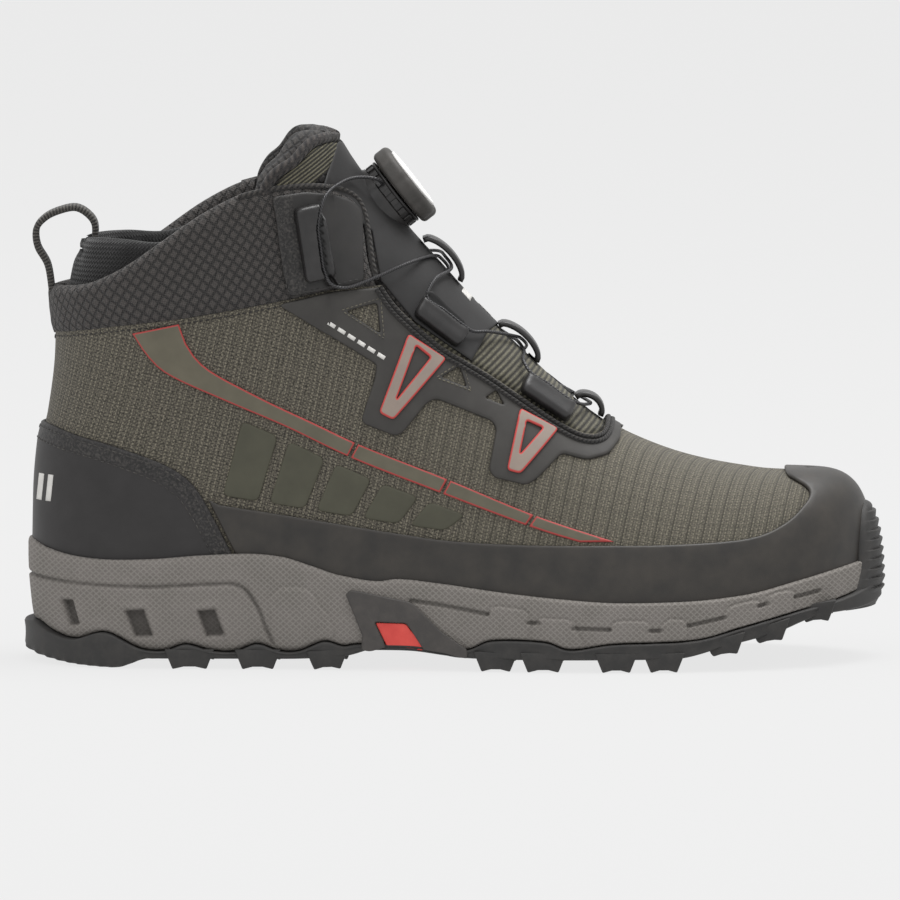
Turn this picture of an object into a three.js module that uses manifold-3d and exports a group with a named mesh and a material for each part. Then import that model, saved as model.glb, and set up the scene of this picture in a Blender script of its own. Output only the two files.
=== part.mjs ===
// A right-foot mid-height hiking boot with a dial lacing system, in millimetres.
// +X points to the toe, +Y to the inner (medial) side, +Z up. The boot stands on Z = 0.
// The origin is the centre of the boot's footprint on the ground.
import * as THREE from "three";
import { mergeVertices } from "three/addons/utils/BufferGeometryUtils.js";
import Module from "manifold-3d";

const wasm = await Module();
wasm.setup();

// ---------------------------------------------------------------- driving dimensions
const BOOT_LENGTH = 306; // heel lip to toe bumper
const BOOT_HEIGHT = 188.6; // ground to the top of the tongue
const UPPER_WIDTH = 97.4; // upper at the ball of the foot
const CLEARANCE = 0.3; // gap between pieces that touch
const TEXTILE_THICKNESS = 2.0;
const STIFFENER_THICKNESS = 1.1; // heel cup and toe puff
const LINING_THICKNESS = 1.5;
const OVERLAY_THICKNESS = 1.2; // rand, heel counter and facings
const STRIPE_THICKNESS = 0.8;
const COLLAR_PROUD = 1.8; // how far the padded collar stands out of the upper
const COLLAR_COVER_THICKNESS = 1.8;
const COLLAR_FOAM_THICKNESS = 5.0;
const LINER_THICKNESS = 6.5; // padded liner behind the heel
const PANEL_THICKNESS = 1.0; // smooth ankle panels on the collar
const TONGUE_THICKNESS = 4.0; // wings of the tongue, under the facings
const SHIELD_THICKNESS = 0.8; // smooth panel on the tongue under the dial
const BOARD_THICKNESS = 1.8;
const FOOTBED_THICKNESS = 4.8;
const SHANK_THICKNESS = 1.6;
const SOLE_WALL = 3.2; // midsole wall beside the upper, at the sides
const SOLE_FLARE = 1.8; // how much further the outsole stands out than the midsole
const HEEL_LIP = 4.0; // how far the outsole stands out behind the heel
const BUMPER_THICKNESS = 3.9; // rubber toe bumper
const LUG_HEIGHT = 4.4;
const KNOB_RADIUS = 15.0;
const KNOB_HEIGHT = 6.5;
const BASE_RADIUS = 13.0;
const BASE_HEIGHT = 4.9; // dial base above the tongue
const SPOOL_RADIUS = 8.6;
const KNOB_TRAVEL = 2.5; // the knob pulls out this far to release the lace
const RUNNING_GAP = 0.4; // around the spool and between knob and base
const LACE_DIAMETER = 1.2;
const GUIDE_HEIGHT = 3.6;
const WEBBING_WIDTH = 12;
const WEBBING_THICKNESS = 2.2;

// The curves below are drawn for an upper 296 long and 97.4 wide on a boot 188.6 high, then stretched to the real one.
const DRAWN = { length: 296, width: 97.4, height: 188.6 };
const SOLE_CUP = CLEARANCE + OVERLAY_THICKNESS + CLEARANCE; // from the upper to the inside of the sole's wall
const BUMPER_REACH = SOLE_CUP + CLEARANCE + BUMPER_THICKNESS;
const SOLE_EDGE = SOLE_CUP + SOLE_WALL + SOLE_FLARE; // from the upper to the outsole's edge, at the sides
const KX = (BOOT_LENGTH - HEEL_LIP - BUMPER_REACH) / DRAWN.length;
const KY = UPPER_WIDTH / DRAWN.width;
const KZ = BOOT_HEIGHT / DRAWN.height;

// ---------------------------------------------------------------- small maths
const clamp = (v, low, high) => Math.min(high, Math.max(low, v));
const mix = (a, b, t) => a + (b - a) * t;
function smooth(from, to, v) {
  const t = clamp((v - from) / (to - from), 0, 1);
  return t * t * (3 - 2 * t);
}
// A smooth curve y(x) through points in rising x, which never overshoots them.
function profile(points) {
  const n = points.length;
  const step = [];
  for (let i = 0; i + 1 < n; i++) {
    step.push((points[i + 1][1] - points[i][1]) / (points[i + 1][0] - points[i][0]));
  }
  const slope = points.map((_, i) => {
    if (i === 0) return step[0];
    if (i === n - 1) return step[n - 2];
    const [a, b] = [step[i - 1], step[i]];
    return a * b <= 0 ? 0 : (2 * a * b) / (a + b);
  });
  return (x) => {
    if (x <= points[0][0]) return points[0][1];
    if (x >= points[n - 1][0]) return points[n - 1][1];
    let i = 0;
    while (x > points[i + 1][0]) i++;
    const h = points[i + 1][0] - points[i][0];
    const t = (x - points[i][0]) / h;
    const [y0, y1] = [points[i][1], points[i + 1][1]];
    const [m0, m1] = [slope[i] * h, slope[i + 1] * h];
    const [t2, t3] = [t * t, t * t * t];
    return y0 * (2 * t3 - 3 * t2 + 1) + m0 * (t3 - 2 * t2 + t) + y1 * (3 * t2 - 2 * t3) + m1 * (t3 - t2);
  };
}

// ---------------------------------------------------------------- the form (outside of the upper)
const HEEL_X = -149; // back of the upper at the sole
const TOE_X = 147; // front of the upper at the sole
const HEEL_ARC = 37; // length of the round heel
const TOE_ARC = 82; // length of the round toe
const LEG_FRONT = -45; // front of the leg tube, where the instep ridge begins
const LEG_BACK = -137;
const LEG_HALF_WIDTH = 41;
const LEG_TOP = 192.6; // the form runs on above the collar and tongue, which are cut from it
const TOE_FLAT = 105; // the ridge fans out beyond this
const ROUND_FRONT = TOE_X - TOE_ARC;
const LEG_END = 0.36; // column share that wraps the leg
const TOE_START = 0.78; // column share where the round toe starts

const halfWidth = profile([[-149, 33], [-112, 34.5], [-80, 35.6], [-50, 35.4], [-20, 37], [10, 41], [40, 46.3], [65, 48.7]]);
const centreLine = profile([[-149, 0], [-80, -0.5], [-50, -2.2], [-20, -3.5], [10, -3.7], [40, -2.7], [65, -1.2], [90, 0.5], [112, 2.2], [130, 3.5], [147, 6]]);
const ridgeHeight = profile([[-45, 192.6], [-41.3, 185], [-37.1, 178], [-30, 168.1], [-21.2, 157.8], [-12.4, 147.9], [-3.5, 138],
  [5.3, 128.1], [15.9, 117.5], [26.5, 107.3], [37.1, 97.4], [47.7, 88.5], [57.6, 82.2], [68.9, 76.9], [79.5, 73], [90.1, 70.2], [100.7, 68.2], [112, 66.6], [125, 66]]);
const ridgeSide = profile([[-20, 0], [60, 2], [125, 6]]);
const featherHeight = profile([[-149, 26], [-100, 26], [-50, 23.5], [0, 18], [50, 16], [80, 16.8], [100, 19], [120, 24], [140, 28.5], [147, 30]]);
// Back of the heel by height: full at the heel cup, hollow above it, and out again under the collar.
const heelLine = profile([[25, -149], [60, -148.4], [78, -146.9], [88, -144.6], [109, -142], [116, -141.8], [131, -142.8], [151, -139], [193, -137]]);
const sideRound = profile([[-45, 0.82], [40, 0.9], [90, 0.8], [147, 0.62]]);

// Half-width of the rounded plan outline, as a share of its full width.
function endRound(x) {
  if (x < HEEL_X + HEEL_ARC) return Math.sqrt(Math.max(0, 1 - ((HEEL_X + HEEL_ARC - x) / HEEL_ARC) ** 2));
  if (x > ROUND_FRONT) return Math.sqrt(Math.max(0, 1 - ((x - ROUND_FRONT) / TOE_ARC) ** 2));
  return 1;
}
// X of column t: 0 is the middle of the heel, 1 the tip of the toe. Columns crowd where the outline is round.
function columnX(t) {
  if (t < LEG_END) {
    return mix(HEEL_X, LEG_FRONT, (1 - Math.cos((Math.PI * t) / LEG_END)) / 2);
  }
  if (t < TOE_START) return mix(LEG_FRONT, ROUND_FRONT, (t - LEG_END) / (TOE_START - LEG_END));
  return ROUND_FRONT + TOE_ARC * Math.sin(((t - TOE_START) / (1 - TOE_START)) * (Math.PI / 2));
}
// Plan outline of the upper at column t on one side (-1 lateral, +1 medial), moved out by a distance.
function outline(t, side, out) {
  const at = (u) => {
    const x = columnX(clamp(u, 0, 1));
    return [x, centreLine(x) + side * halfWidth(x) * endRound(x)];
  };
  const [x, y] = at(t);
  const [ax, ay] = at(t - 2e-3);
  const [bx, by] = at(t + 2e-3);
  let [nx, ny] = [-(by - ay), bx - ax];
  const size = Math.hypot(nx, ny) || 1;
  [nx, ny] = [(nx * side) / size, (ny * side) / size];
  if (t <= 0) [nx, ny] = [-1, 0];
  if (t >= 1) [nx, ny] = [1, 0];
  return [x * KX + out * nx, y * KY + out * ny];
}
// Top of column t: on the leg tube's rim behind LEG_FRONT, and on the instep ridge in front of it.
function columnTop(t, side, out) {
  const x = columnX(t);
  if (t < LEG_END) {
    const angle = (Math.PI * t) / LEG_END;
    const [centre, radius] = [(LEG_FRONT + LEG_BACK) / 2, (LEG_FRONT - LEG_BACK) / 2];
    return [centre * KX - (radius * KX + out) * Math.cos(angle), side * (LEG_HALF_WIDTH * KY + out) * Math.sin(angle), LEG_TOP * KZ];
  }
  const flatX = x < TOE_FLAT ? x : TOE_FLAT + 20 * Math.tanh((x - TOE_FLAT) / 20);
  const slope = ((ridgeHeight(flatX + 1) - ridgeHeight(flatX - 1)) * KZ) / (2 * KX);
  const up = smooth(LEG_FRONT, LEG_FRONT + 18, flatX) / Math.hypot(1, slope);
  return [flatX * KX + out * Math.sqrt(1 - up * up), ridgeSide(flatX) * KY, ridgeHeight(flatX) * KZ + out * up];
}
// A point of the form: column t, height share w from the sole (0) to the ridge or rim (1), moved out by a distance.
function formPoint(t, w, side, out = 0, lift = 0) {
  const x = columnX(t);
  const foot = outline(t, side, out);
  const top = columnTop(t, side, out);
  const bottom = featherHeight(x) * KZ + lift;
  const power = sideRound(x);
  const angle = (w * Math.PI) / 2;
  const rise = w >= 1 ? 1 : Math.sin(angle) ** power;
  const turn = w >= 1 ? 1 : 1 - Math.cos(angle) ** power;
  const leg = smooth(-62, -112, x); // 1 at the heel, where the wall leans evenly
  const toe = smooth(70, TOE_FLAT, x);
  const sideways = mix(turn, rise, leg);
  const along = mix(mix(Math.sin(angle) ** 2, turn, toe), rise, leg);
  const z = mix(bottom, top[2], rise);
  const behind = Math.max(0, Math.cos((Math.PI * t) / LEG_END)); // 1 at the middle of the heel, 0 at the ankle's side
  const hollow = (heelLine(z / KZ) - mix(HEEL_X, LEG_BACK, rise)) * KX * behind;
  const waist = 1 - 0.06 * leg * Math.sin(Math.PI * rise);
  return new THREE.Vector3(mix(foot[0], top[0], along) + hollow, mix(foot[1], top[1], sideways) * waist, z);
}

// ---------------------------------------------------------------- solids
function solidFrom(geometry) {
  const plain = geometry.index ? geometry.toNonIndexed() : geometry.clone();
  plain.deleteAttribute("normal");
  plain.deleteAttribute("uv");
  const merged = mergeVertices(plain, 1e-4);
  const triVerts = new Uint32Array(merged.index.array);
  const make = () => new wasm.Manifold(new wasm.Mesh({ numProp: 3, vertProperties: merged.attributes.position.array, triVerts }));
  const solid = make();
  if (solid.volume() > 0) return solid;
  for (let i = 0; i < triVerts.length; i += 3) [triVerts[i + 1], triVerts[i + 2]] = [triVerts[i + 2], triVerts[i + 1]];
  return make();
}
function geometryFrom(solid) {
  const made = solid.getMesh();
  const geometry = new THREE.BufferGeometry();
  const positions = new Float32Array(made.numVert * 3);
  for (let i = 0; i < made.numVert; i++) {
    positions.set(made.vertProperties.subarray(i * made.numProp, i * made.numProp + 3), i * 3);
  }
  geometry.setAttribute("position", new THREE.BufferAttribute(positions, 3));
  geometry.setIndex(new THREE.BufferAttribute(new Uint32Array(made.triVerts), 1));
  geometry.computeVertexNormals();
  return geometry;
}
// A closed solid from rings of points, each ring a list for the lateral side and one for the medial, heel to toe.
// The first and last ring are closed across the boot, and the last only as far as topColumns.
function ringSolid(rings, topColumns) {
  const positions = [];
  const faces = [];
  const index = rings.map(({ lateral, medial }) => {
    const row = { lateral: [], medial: [] };
    lateral.forEach((p, i) => {
      positions.push(p.x, p.y, p.z);
      row.lateral.push(positions.length / 3 - 1);
      const same = p.distanceTo(medial[i]) < 1e-3;
      if (!same) positions.push(medial[i].x, medial[i].y, medial[i].z);
      row.medial.push(positions.length / 3 - 1);
    });
    return row;
  });
  const quad = (a, b, c, d) => {
    for (const [i, j, k] of [[a, b, c], [a, c, d]]) {
      if (i !== j && j !== k && k !== i) faces.push(i, j, k);
    }
  };
  for (let r = 0; r + 1 < index.length; r++) {
    const [low, high] = [index[r], index[r + 1]];
    for (let i = 0; i + 1 < low.lateral.length && i + 1 < high.lateral.length; i++) {
      quad(low.lateral[i], low.lateral[i + 1], high.lateral[i + 1], high.lateral[i]);
      quad(low.medial[i + 1], low.medial[i], high.medial[i], high.medial[i + 1]);
    }
  }
  const [first, last] = [index[0], index[index.length - 1]];
  for (let i = 0; i + 1 < first.lateral.length; i++) quad(first.lateral[i], first.medial[i], first.medial[i + 1], first.lateral[i + 1]);
  for (let i = 0; i < topColumns; i++) quad(last.lateral[i], last.lateral[i + 1], last.medial[i + 1], last.medial[i]);
  const geometry = new THREE.BufferGeometry();
  geometry.setAttribute("position", new THREE.BufferAttribute(new Float32Array(positions), 3));
  geometry.setIndex(faces);
  return solidFrom(geometry);
}
const LEG_COLUMNS = 8;
const INSTEP_COLUMNS = 7;
const TOE_COLUMNS = 5;
const ROWS = 6;
const COLUMNS = [
  ...Array.from({ length: LEG_COLUMNS }, (_, i) => (LEG_END * i) / LEG_COLUMNS),
  ...Array.from({ length: INSTEP_COLUMNS }, (_, i) => mix(LEG_END, TOE_START, i / INSTEP_COLUMNS)),
  ...Array.from({ length: TOE_COLUMNS + 1 }, (_, i) => mix(TOE_START, 1, i / TOE_COLUMNS)),
];
// The whole form as one solid, moved out by a distance. A cutter is open below and above, so it leaves a tube.
function formSolid(out, { lift = 0, cutter = false } = {}) {
  const ring = (w, raise = 0, count = COLUMNS.length) => {
    const row = { lateral: [], medial: [] };
    for (const t of COLUMNS.slice(0, count)) {
      for (const [name, side] of [["lateral", -1], ["medial", 1]]) {
        const p = formPoint(t, w, side, out, lift);
        p.z += raise;
        row[name].push(p);
      }
    }
    return row;
  };
  const rings = [];
  if (cutter) rings.push(ring(0, -40));
  for (let r = 0; r <= ROWS; r++) rings.push(ring(r / ROWS));
  if (cutter) rings.push(ring(1, 30, LEG_COLUMNS + 1));
  return ringSolid(rings, LEG_COLUMNS);
}
// A prism: an outline in X-Z, drawn in the same numbers as the curves above, running across the boot from y0 to y1.
function prism(points, y0 = -90, y1 = 90, scaled = true) {
  const [kx, kz] = scaled ? [KX, KZ] : [1, 1];
  const shape = new THREE.Shape(points.map(([x, z]) => new THREE.Vector2(x * kx, z * kz)));
  const geometry = new THREE.ExtrudeGeometry(shape, { depth: y1 - y0, bevelEnabled: false });
  geometry.rotateX(Math.PI / 2);
  geometry.translate(0, y1, 0);
  return solidFrom(geometry);
}
const lateralOf = (points) => prism(points, -90, -CLEARANCE / 2);
const medialOf = (points) => prism(points, CLEARANCE / 2, 90);
// A wall of the form between two distances, open below and above.
function wall(from, to, lift = BOARD_THICKNESS + CLEARANCE) {
  return formSolid(to, { lift }).subtract(formSolid(from, { lift, cutter: true }));
}
// Points of a smooth curve through a few chosen ones.
function through(points, steps) {
  const curve = new THREE.SplineCurve(points.map(([x, z]) => new THREE.Vector2(x, z)));
  return curve.getPoints(steps).map((p) => [p.x, p.y]);
}
const shift = (points, dx, dz) => points.map(([x, z]) => [x + dx, z + dz]);
// A closed outline moved out by a distance all round, or in by a negative one.
function grown(points, by) {
  const turn = Math.sign(THREE.ShapeUtils.area(points.map(([x, z]) => new THREE.Vector2(x, z))));
  return points.map((here, i) => {
    const before = points[(i + points.length - 1) % points.length];
    const after = points[(i + 1) % points.length];
    const normals = [[before, here], [here, after]].map(([[ax, az], [bx, bz]]) => {
      const size = Math.hypot(bx - ax, bz - az) || 1;
      return [((bz - az) * turn) / size, ((ax - bx) * turn) / size];
    });
    const [mx, mz] = [normals[0][0] + normals[1][0], normals[0][1] + normals[1][1]];
    const share = (2 * by) / Math.max(mx * mx + mz * mz, 1);
    return [here[0] + mx * share, here[1] + mz * share];
  });
}

// ---------------------------------------------------------------- materials
const finish = (color, roughness, metalness = 0) => new THREE.MeshStandardMaterial({ color, roughness, metalness });
const FINISH = {
  rubber: finish(0x3a3936, 0.85),
  foam: finish(0x77736e, 0.9),
  red: finish(0xd84a3f, 0.6),
  board: finish(0xb9b3a4, 0.95),
  footbed: finish(0x2b2b2d, 0.95),
  textile: finish(0x57554b, 0.95),
  lining: finish(0x1f1f21, 0.95),
  film: finish(0x3b3937, 0.7),
  knit: finish(0x3a393a, 0.95),
  stripe: finish(0x63655a, 0.7),
  loop: finish(0x8d8078, 0.7),
  plastic: finish(0x242424, 0.5),
  knob: finish(0x4a4845, 0.8),
  cap: finish(0xe8e8e6, 0.45),
  wire: finish(0x3c3c3e, 0.4, 0.7),
  stiffener: finish(0xd8d4c8, 0.8),
};
const boot = new THREE.Group();
function add(name, solid, material) {
  const mesh = new THREE.Mesh(geometryFrom(solid), material);
  mesh.name = name;
  boot.add(mesh);
  return mesh;
}

// ---------------------------------------------------------------- outlines, X-Z
const COLLAR_LOWER = through([[-160, 113.1], [-125, 119.1], [-97, 122.8], [-76, 126.3], [-58, 129.8], [-44, 132.8], [-26, 134.7]], 8);
const COLLAR_TOP = through([[-26.5, 135.1], [-29.3, 143.9], [-30.7, 155.1], [-33.5, 164.2], [-42, 168.9], [-54, 170.4], [-65, 169.4], [-76, 166.9], [-90, 160], [-104, 150.8], [-115, 143.4], [-125, 138], [-136, 134.3], [-160, 132.2]], 15);
const THROAT = through([[-26, 134.7], [-19.4, 125.8], [-5.3, 113.5], [3.5, 108.1], [12.4, 102.7], [23, 95.5], [37.1, 86.1], [46, 81.9], [52.5, 82.5], [55, 89.6]], 10);
const VAMP_SEAM = 57.3; // X where the vamp meets the quarters, under the facings
const QUARTER = [[-170, 0], ...shift(COLLAR_LOWER, 0, -CLEARANCE), ...THROAT.slice(1), [VAMP_SEAM - CLEARANCE, 110], [VAMP_SEAM - CLEARANCE, 0]];
const BELOW_COLLAR = [[-170, 0], ...shift(COLLAR_LOWER, 0, -CLEARANCE), ...THROAT.slice(1), [60, 110], [170, 110], [170, 0]];
const COLLAR = [...COLLAR_LOWER, ...COLLAR_TOP];
const COUNTER_TOP = through([[-160, 85.1], [-146.5, 84.6], [-133.8, 81.3], [-120, 77.9], [-103.3, 72.1], [-94, 66.2], [-87.5, 57.3], [-77, 36.8]], 9);
const HEEL_COUNTER = [[-170, 10], ...COUNTER_TOP, [-77, 10]];
const RAND_TOP = through([[-86.6, 58.2], [-65.4, 55], [-44, 51.6], [-19.4, 47.9], [-1.8, 45.6], [23, 44.5], [51.2, 44.4], [79.5, 44.7], [104, 46.3], [116.5, 50.9], [124, 57.9], [125.4, 62.5], [119, 65.9], [108, 69.1], [104, 85.6]], 16);
const RAND = [[-76.2, 10], [-76.2, 38.6], [-86.6, 59.4], ...RAND_TOP.slice(1), [170, 90], [170, 10]];
const FACING = [[-62, 128.3], ...shift(COLLAR_LOWER, 0, -CLEARANCE).filter(([x]) => x > -60), ...THROAT.slice(1), [55, 95.6], [60, 95.6], [59, 80.6], [54.5, 75.6], [46.9, 74],
  [37.8, 76.4], [28.6, 67.5], [25.1, 65.6], [13.8, 68.1], [12, 70.8], [14.8, 85.3], [13.1, 87.9], [-6.5, 95.7], [-9.9, 94.1], [-18.7, 83.3], [-21.4, 82.6], [-32.2, 86.7], [-32.9, 88.6], [-28.1, 102.7], [-27.5, 107.5], [-29.5, 108.8], [-45.7, 118.3]];
const PANEL = [[-64.4, 166.6], [-63, 159.9], [-61.8, 149.7], [-60.4, 139.7], [-58.3, 131.4], [-32, 136], [-32.3, 160.8], [-36, 164.4], [-42.8, 166.9], [-52.3, 168.2]];
const STRIPE_UPPER = through([[-96.9, 120.3], [-94.8, 114.7], [-87.7, 106.1], [-69.5, 96], [-49.2, 86.4], [-34, 79.3], [-1.8, 66.8], [28.6, 54.6], [56, 45.7]], 8);
const STRIPE_LOWER = through([[43.9, 45.6], [25.6, 51.2], [-5.8, 62.7], [-37, 74.7], [-59.4, 85.3], [-79.7, 93.9], [-100, 103], [-108, 109.5], [-113.9, 118.1]], 8);
const LOOPS = {
  upper: { outer: [[-16.3, 118.2], [-2.8, 109.5], [-21.7, 88.1], [-26.8, 90.7]], inner: [[-13.6, 114], [-8.5, 109.9], [-20.7, 95.1]] },
  lower: { outer: [[23.1, 92], [36.8, 84.7], [23.1, 69.5], [18.3, 70.8]], inner: [[25.4, 87.7], [31.2, 85.1], [22.9, 76.1]] },
};

// ---------------------------------------------------------------- upper
const OVERLAY_FROM = CLEARANCE;
const OVERLAY_TO = OVERLAY_FROM + OVERLAY_THICKNESS;
const LAYER = {
  textile: [-TEXTILE_THICKNESS, 0],
  stiffener: [-TEXTILE_THICKNESS - CLEARANCE - STIFFENER_THICKNESS, -TEXTILE_THICKNESS - CLEARANCE],
};
LAYER.lining = [LAYER.stiffener[0] - CLEARANCE - LINING_THICKNESS, LAYER.stiffener[0] - CLEARANCE];
LAYER.cover = [COLLAR_PROUD - COLLAR_COVER_THICKNESS, COLLAR_PROUD];
LAYER.foam = [LAYER.cover[0] - CLEARANCE - COLLAR_FOAM_THICKNESS, LAYER.cover[0] - CLEARANCE];
LAYER.liner = [LAYER.foam[0] - CLEARANCE - LINER_THICKNESS, LAYER.foam[0] - CLEARANCE];

function buildUpper() {
  const textile = wall(...LAYER.textile);
  add("quarter_lateral", textile.intersect(lateralOf(QUARTER)), FINISH.textile);
  add("quarter_medial", textile.intersect(medialOf(QUARTER)), FINISH.textile);
  add("vamp", textile.intersect(prism([[VAMP_SEAM, 0], [VAMP_SEAM, 120], [170, 120], [170, 0]])), FINISH.textile);

  const stiffener = wall(...LAYER.stiffener);
  add("heel_cup_stiffener", stiffener.intersect(prism([[-170, 0], [-170, 80], [-120, 76], [-98, 60], [-90, 0]])), FINISH.stiffener);
  add("toe_puff", stiffener.intersect(prism([[113, 0], [113, 110], [170, 110], [170, 0]])), FINISH.stiffener);
  add("lining", wall(...LAYER.lining).intersect(prism(BELOW_COLLAR)), FINISH.lining);

  const overlay = wall(OVERLAY_FROM, OVERLAY_TO);
  add("heel_counter", overlay.intersect(prism(HEEL_COUNTER)), FINISH.film);
  add("rand", overlay.intersect(prism(RAND)), FINISH.film);
  // The two facings meet in front of the throat, with a slit between them.
  const meet = ridgeSide(VAMP_SEAM) * KY;
  add("facing_lateral", overlay.intersect(prism(FACING, -90, meet - CLEARANCE / 2)), FINISH.film);
  add("facing_medial", overlay.intersect(prism(FACING, meet + CLEARANCE / 2, 90)), FINISH.film);

  const stripe = wall(OVERLAY_FROM, OVERLAY_FROM + STRIPE_THICKNESS).intersect(prism([...STRIPE_UPPER, ...STRIPE_LOWER]));
  add("side_stripe_lateral", stripe.intersect(lateralOf(QUARTER)), FINISH.stripe);
  add("side_stripe_medial", stripe.intersect(medialOf(QUARTER)), FINISH.stripe);

  const loopWall = wall(OVERLAY_TO + CLEARANCE, OVERLAY_TO + CLEARANCE + STRIPE_THICKNESS);
  for (const [name, { outer, inner }] of Object.entries(LOOPS)) {
    const band = loopWall.intersect(prism(outer)).subtract(prism(inner));
    add(`facing_loop_${name}_lateral`, band.intersect(prism(outer, -90, 0)), FINISH.loop);
    add(`facing_loop_${name}_medial`, band.intersect(prism(outer, 0, 90)), FINISH.loop);
  }
}

// ---------------------------------------------------------------- collar
const COLLAR_FRONT_TRIM = 2.5; // the foam stops short of the cover's front edge
const LINER_TOP = through([[-74, 161.1], [-90, 154.1], [-104, 150.1], [-118, 150.8], [-131, 150.2], [-137, 145.6]], 7);
const LINER = [[-170, 92], [-74, 112], ...LINER_TOP, [-170, 150]];
function buildCollar() {
  const zone = prism(COLLAR);
  add("collar_cover", wall(...LAYER.cover).intersect(zone), FINISH.knit);
  const foamZone = prism(shift(COLLAR, -COLLAR_FRONT_TRIM, 0));
  add("collar_foam", wall(...LAYER.foam).intersect(foamZone).intersect(zone), FINISH.foam);
  add("heel_liner", wall(...LAYER.liner).intersect(prism(LINER)), FINISH.lining);
  const panel = wall(COLLAR_PROUD + CLEARANCE, COLLAR_PROUD + CLEARANCE + PANEL_THICKNESS);
  add("ankle_panel_lateral", panel.intersect(prism(PANEL, -90, 0)), FINISH.film);
  add("ankle_panel_medial", panel.intersect(prism(PANEL, 0, 90)), FINISH.film);
}
// Webbing pull loop at the heel: from the collar's top edge over to the top of the heel liner.
function buildPullLoop() {
  const centre = through([[-142.9, 130.6], [-144.4, 140.1], [-148, 146.8], [-148.4, 153], [-145, 157.1], [-139.8, 159.5], [-134.4, 160.4], [-130, 158], [-127.6, 154], [-128, 146.6]], 12);
  const points = centre.map(([x, z]) => new THREE.Vector2(x * KX, z * KZ));
  const [left, right] = [[], []];
  points.forEach((p, i) => {
    const along = points[Math.min(i + 1, points.length - 1)].clone().sub(points[Math.max(i - 1, 0)]).normalize();
    left.push([p.x - (along.y * WEBBING_THICKNESS) / 2, p.y + (along.x * WEBBING_THICKNESS) / 2]);
    right.unshift([p.x + (along.y * WEBBING_THICKNESS) / 2, p.y - (along.x * WEBBING_THICKNESS) / 2]);
  });
  const band = prism([...left, ...right], -WEBBING_WIDTH / 2, WEBBING_WIDTH / 2, false);
  const clear = formSolid(COLLAR_PROUD + CLEARANCE).intersect(prism(shift(COLLAR, 0, CLEARANCE)));
  const linerClear = wall(LAYER.liner[0] - CLEARANCE, LAYER.liner[1] + CLEARANCE).intersect(prism(grown(LINER, CLEARANCE)));
  add("heel_pull_loop", band.subtract(clear).subtract(linerClear), FINISH.knit);
}

// ---------------------------------------------------------------- tongue
const TONGUE_TOP = through([[-69, 161.6], [-67.6, 170.6], [-63.6, 176.9], [-58.3, 181], [-53.7, 186.2], [-49.5, 188.6], [-44.2, 188.2], [-40, 184.5], [-36, 179.6], [-30, 171.6]], 9);
const TONGUE = [[-62, 122], ...TONGUE_TOP, [-20, 200], [60, 110], [60, 74], [44, 72], [0, 92], [-30, 112]];
const SHIELD = [[-47, 167.1], [-41.5, 183.6], [-20, 195.6], [38, 128.6], [12, 118], [6, 108.2], [-14, 122.1], [-26, 136.6], [-29, 153.6]];
const TONGUE_OUT = -CLEARANCE;
const TONGUE_WING_OUT = LAYER.lining[0] - CLEARANCE; // the wings pass under the lining
// Everything of the form outside a distance, within an outline.
function outsideOf(from, points) {
  const keep = formSolid(from, { lift: -40 });
  return prism(points).subtract(keep);
}
function buildTongue() {
  const underFoam = LAYER.foam[0] - CLEARANCE;
  const inside = Math.min(TONGUE_WING_OUT, underFoam) - TONGUE_THICKNESS;
  const tongue = wall(inside, TONGUE_OUT).intersect(prism(TONGUE))
    .subtract(outsideOf(TONGUE_WING_OUT, grown(BELOW_COLLAR, CLEARANCE)))
    .subtract(outsideOf(underFoam, grown(COLLAR, CLEARANCE)));
  add("tongue", tongue, FINISH.textile);
  const shield = wall(0, SHIELD_THICKNESS).intersect(prism(SHIELD))
    .subtract(prism(grown(COLLAR, CLEARANCE)))
    .subtract(prism(grown(QUARTER, CLEARANCE)));
  add("tongue_shield", shield, FINISH.film);
}

// ---------------------------------------------------------------- dial
const DIAL_ANGLE = (38 * Math.PI) / 180; // axis above level
const DIAL_X = -25.4;
const AXIS = new THREE.Vector3(Math.cos(DIAL_ANGLE), 0, Math.sin(DIAL_ANGLE));
const UPWARD = new THREE.Vector3(-Math.sin(DIAL_ANGLE), 0, Math.cos(DIAL_ANGLE)); // along the tongue
const DIAL_SEAT = new THREE.Vector3(DIAL_X * KX, 0, ridgeHeight(DIAL_X) * KZ).addScaledVector(AXIS, SHIELD_THICKNESS + CLEARANCE);
const DIAL_SEGMENTS = 20;
const dialTurn = new THREE.Matrix4().makeBasis(UPWARD, new THREE.Vector3(0, -1, 0), AXIS);
// A point in the dial's own frame: height above the seat, sideways (+Y) and up the tongue.
const dialPoint = (height, sideways, upward) => DIAL_SEAT.clone().addScaledVector(AXIS, height)
  .addScaledVector(UPWARD, upward).add(new THREE.Vector3(0, sideways, 0));
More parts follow.
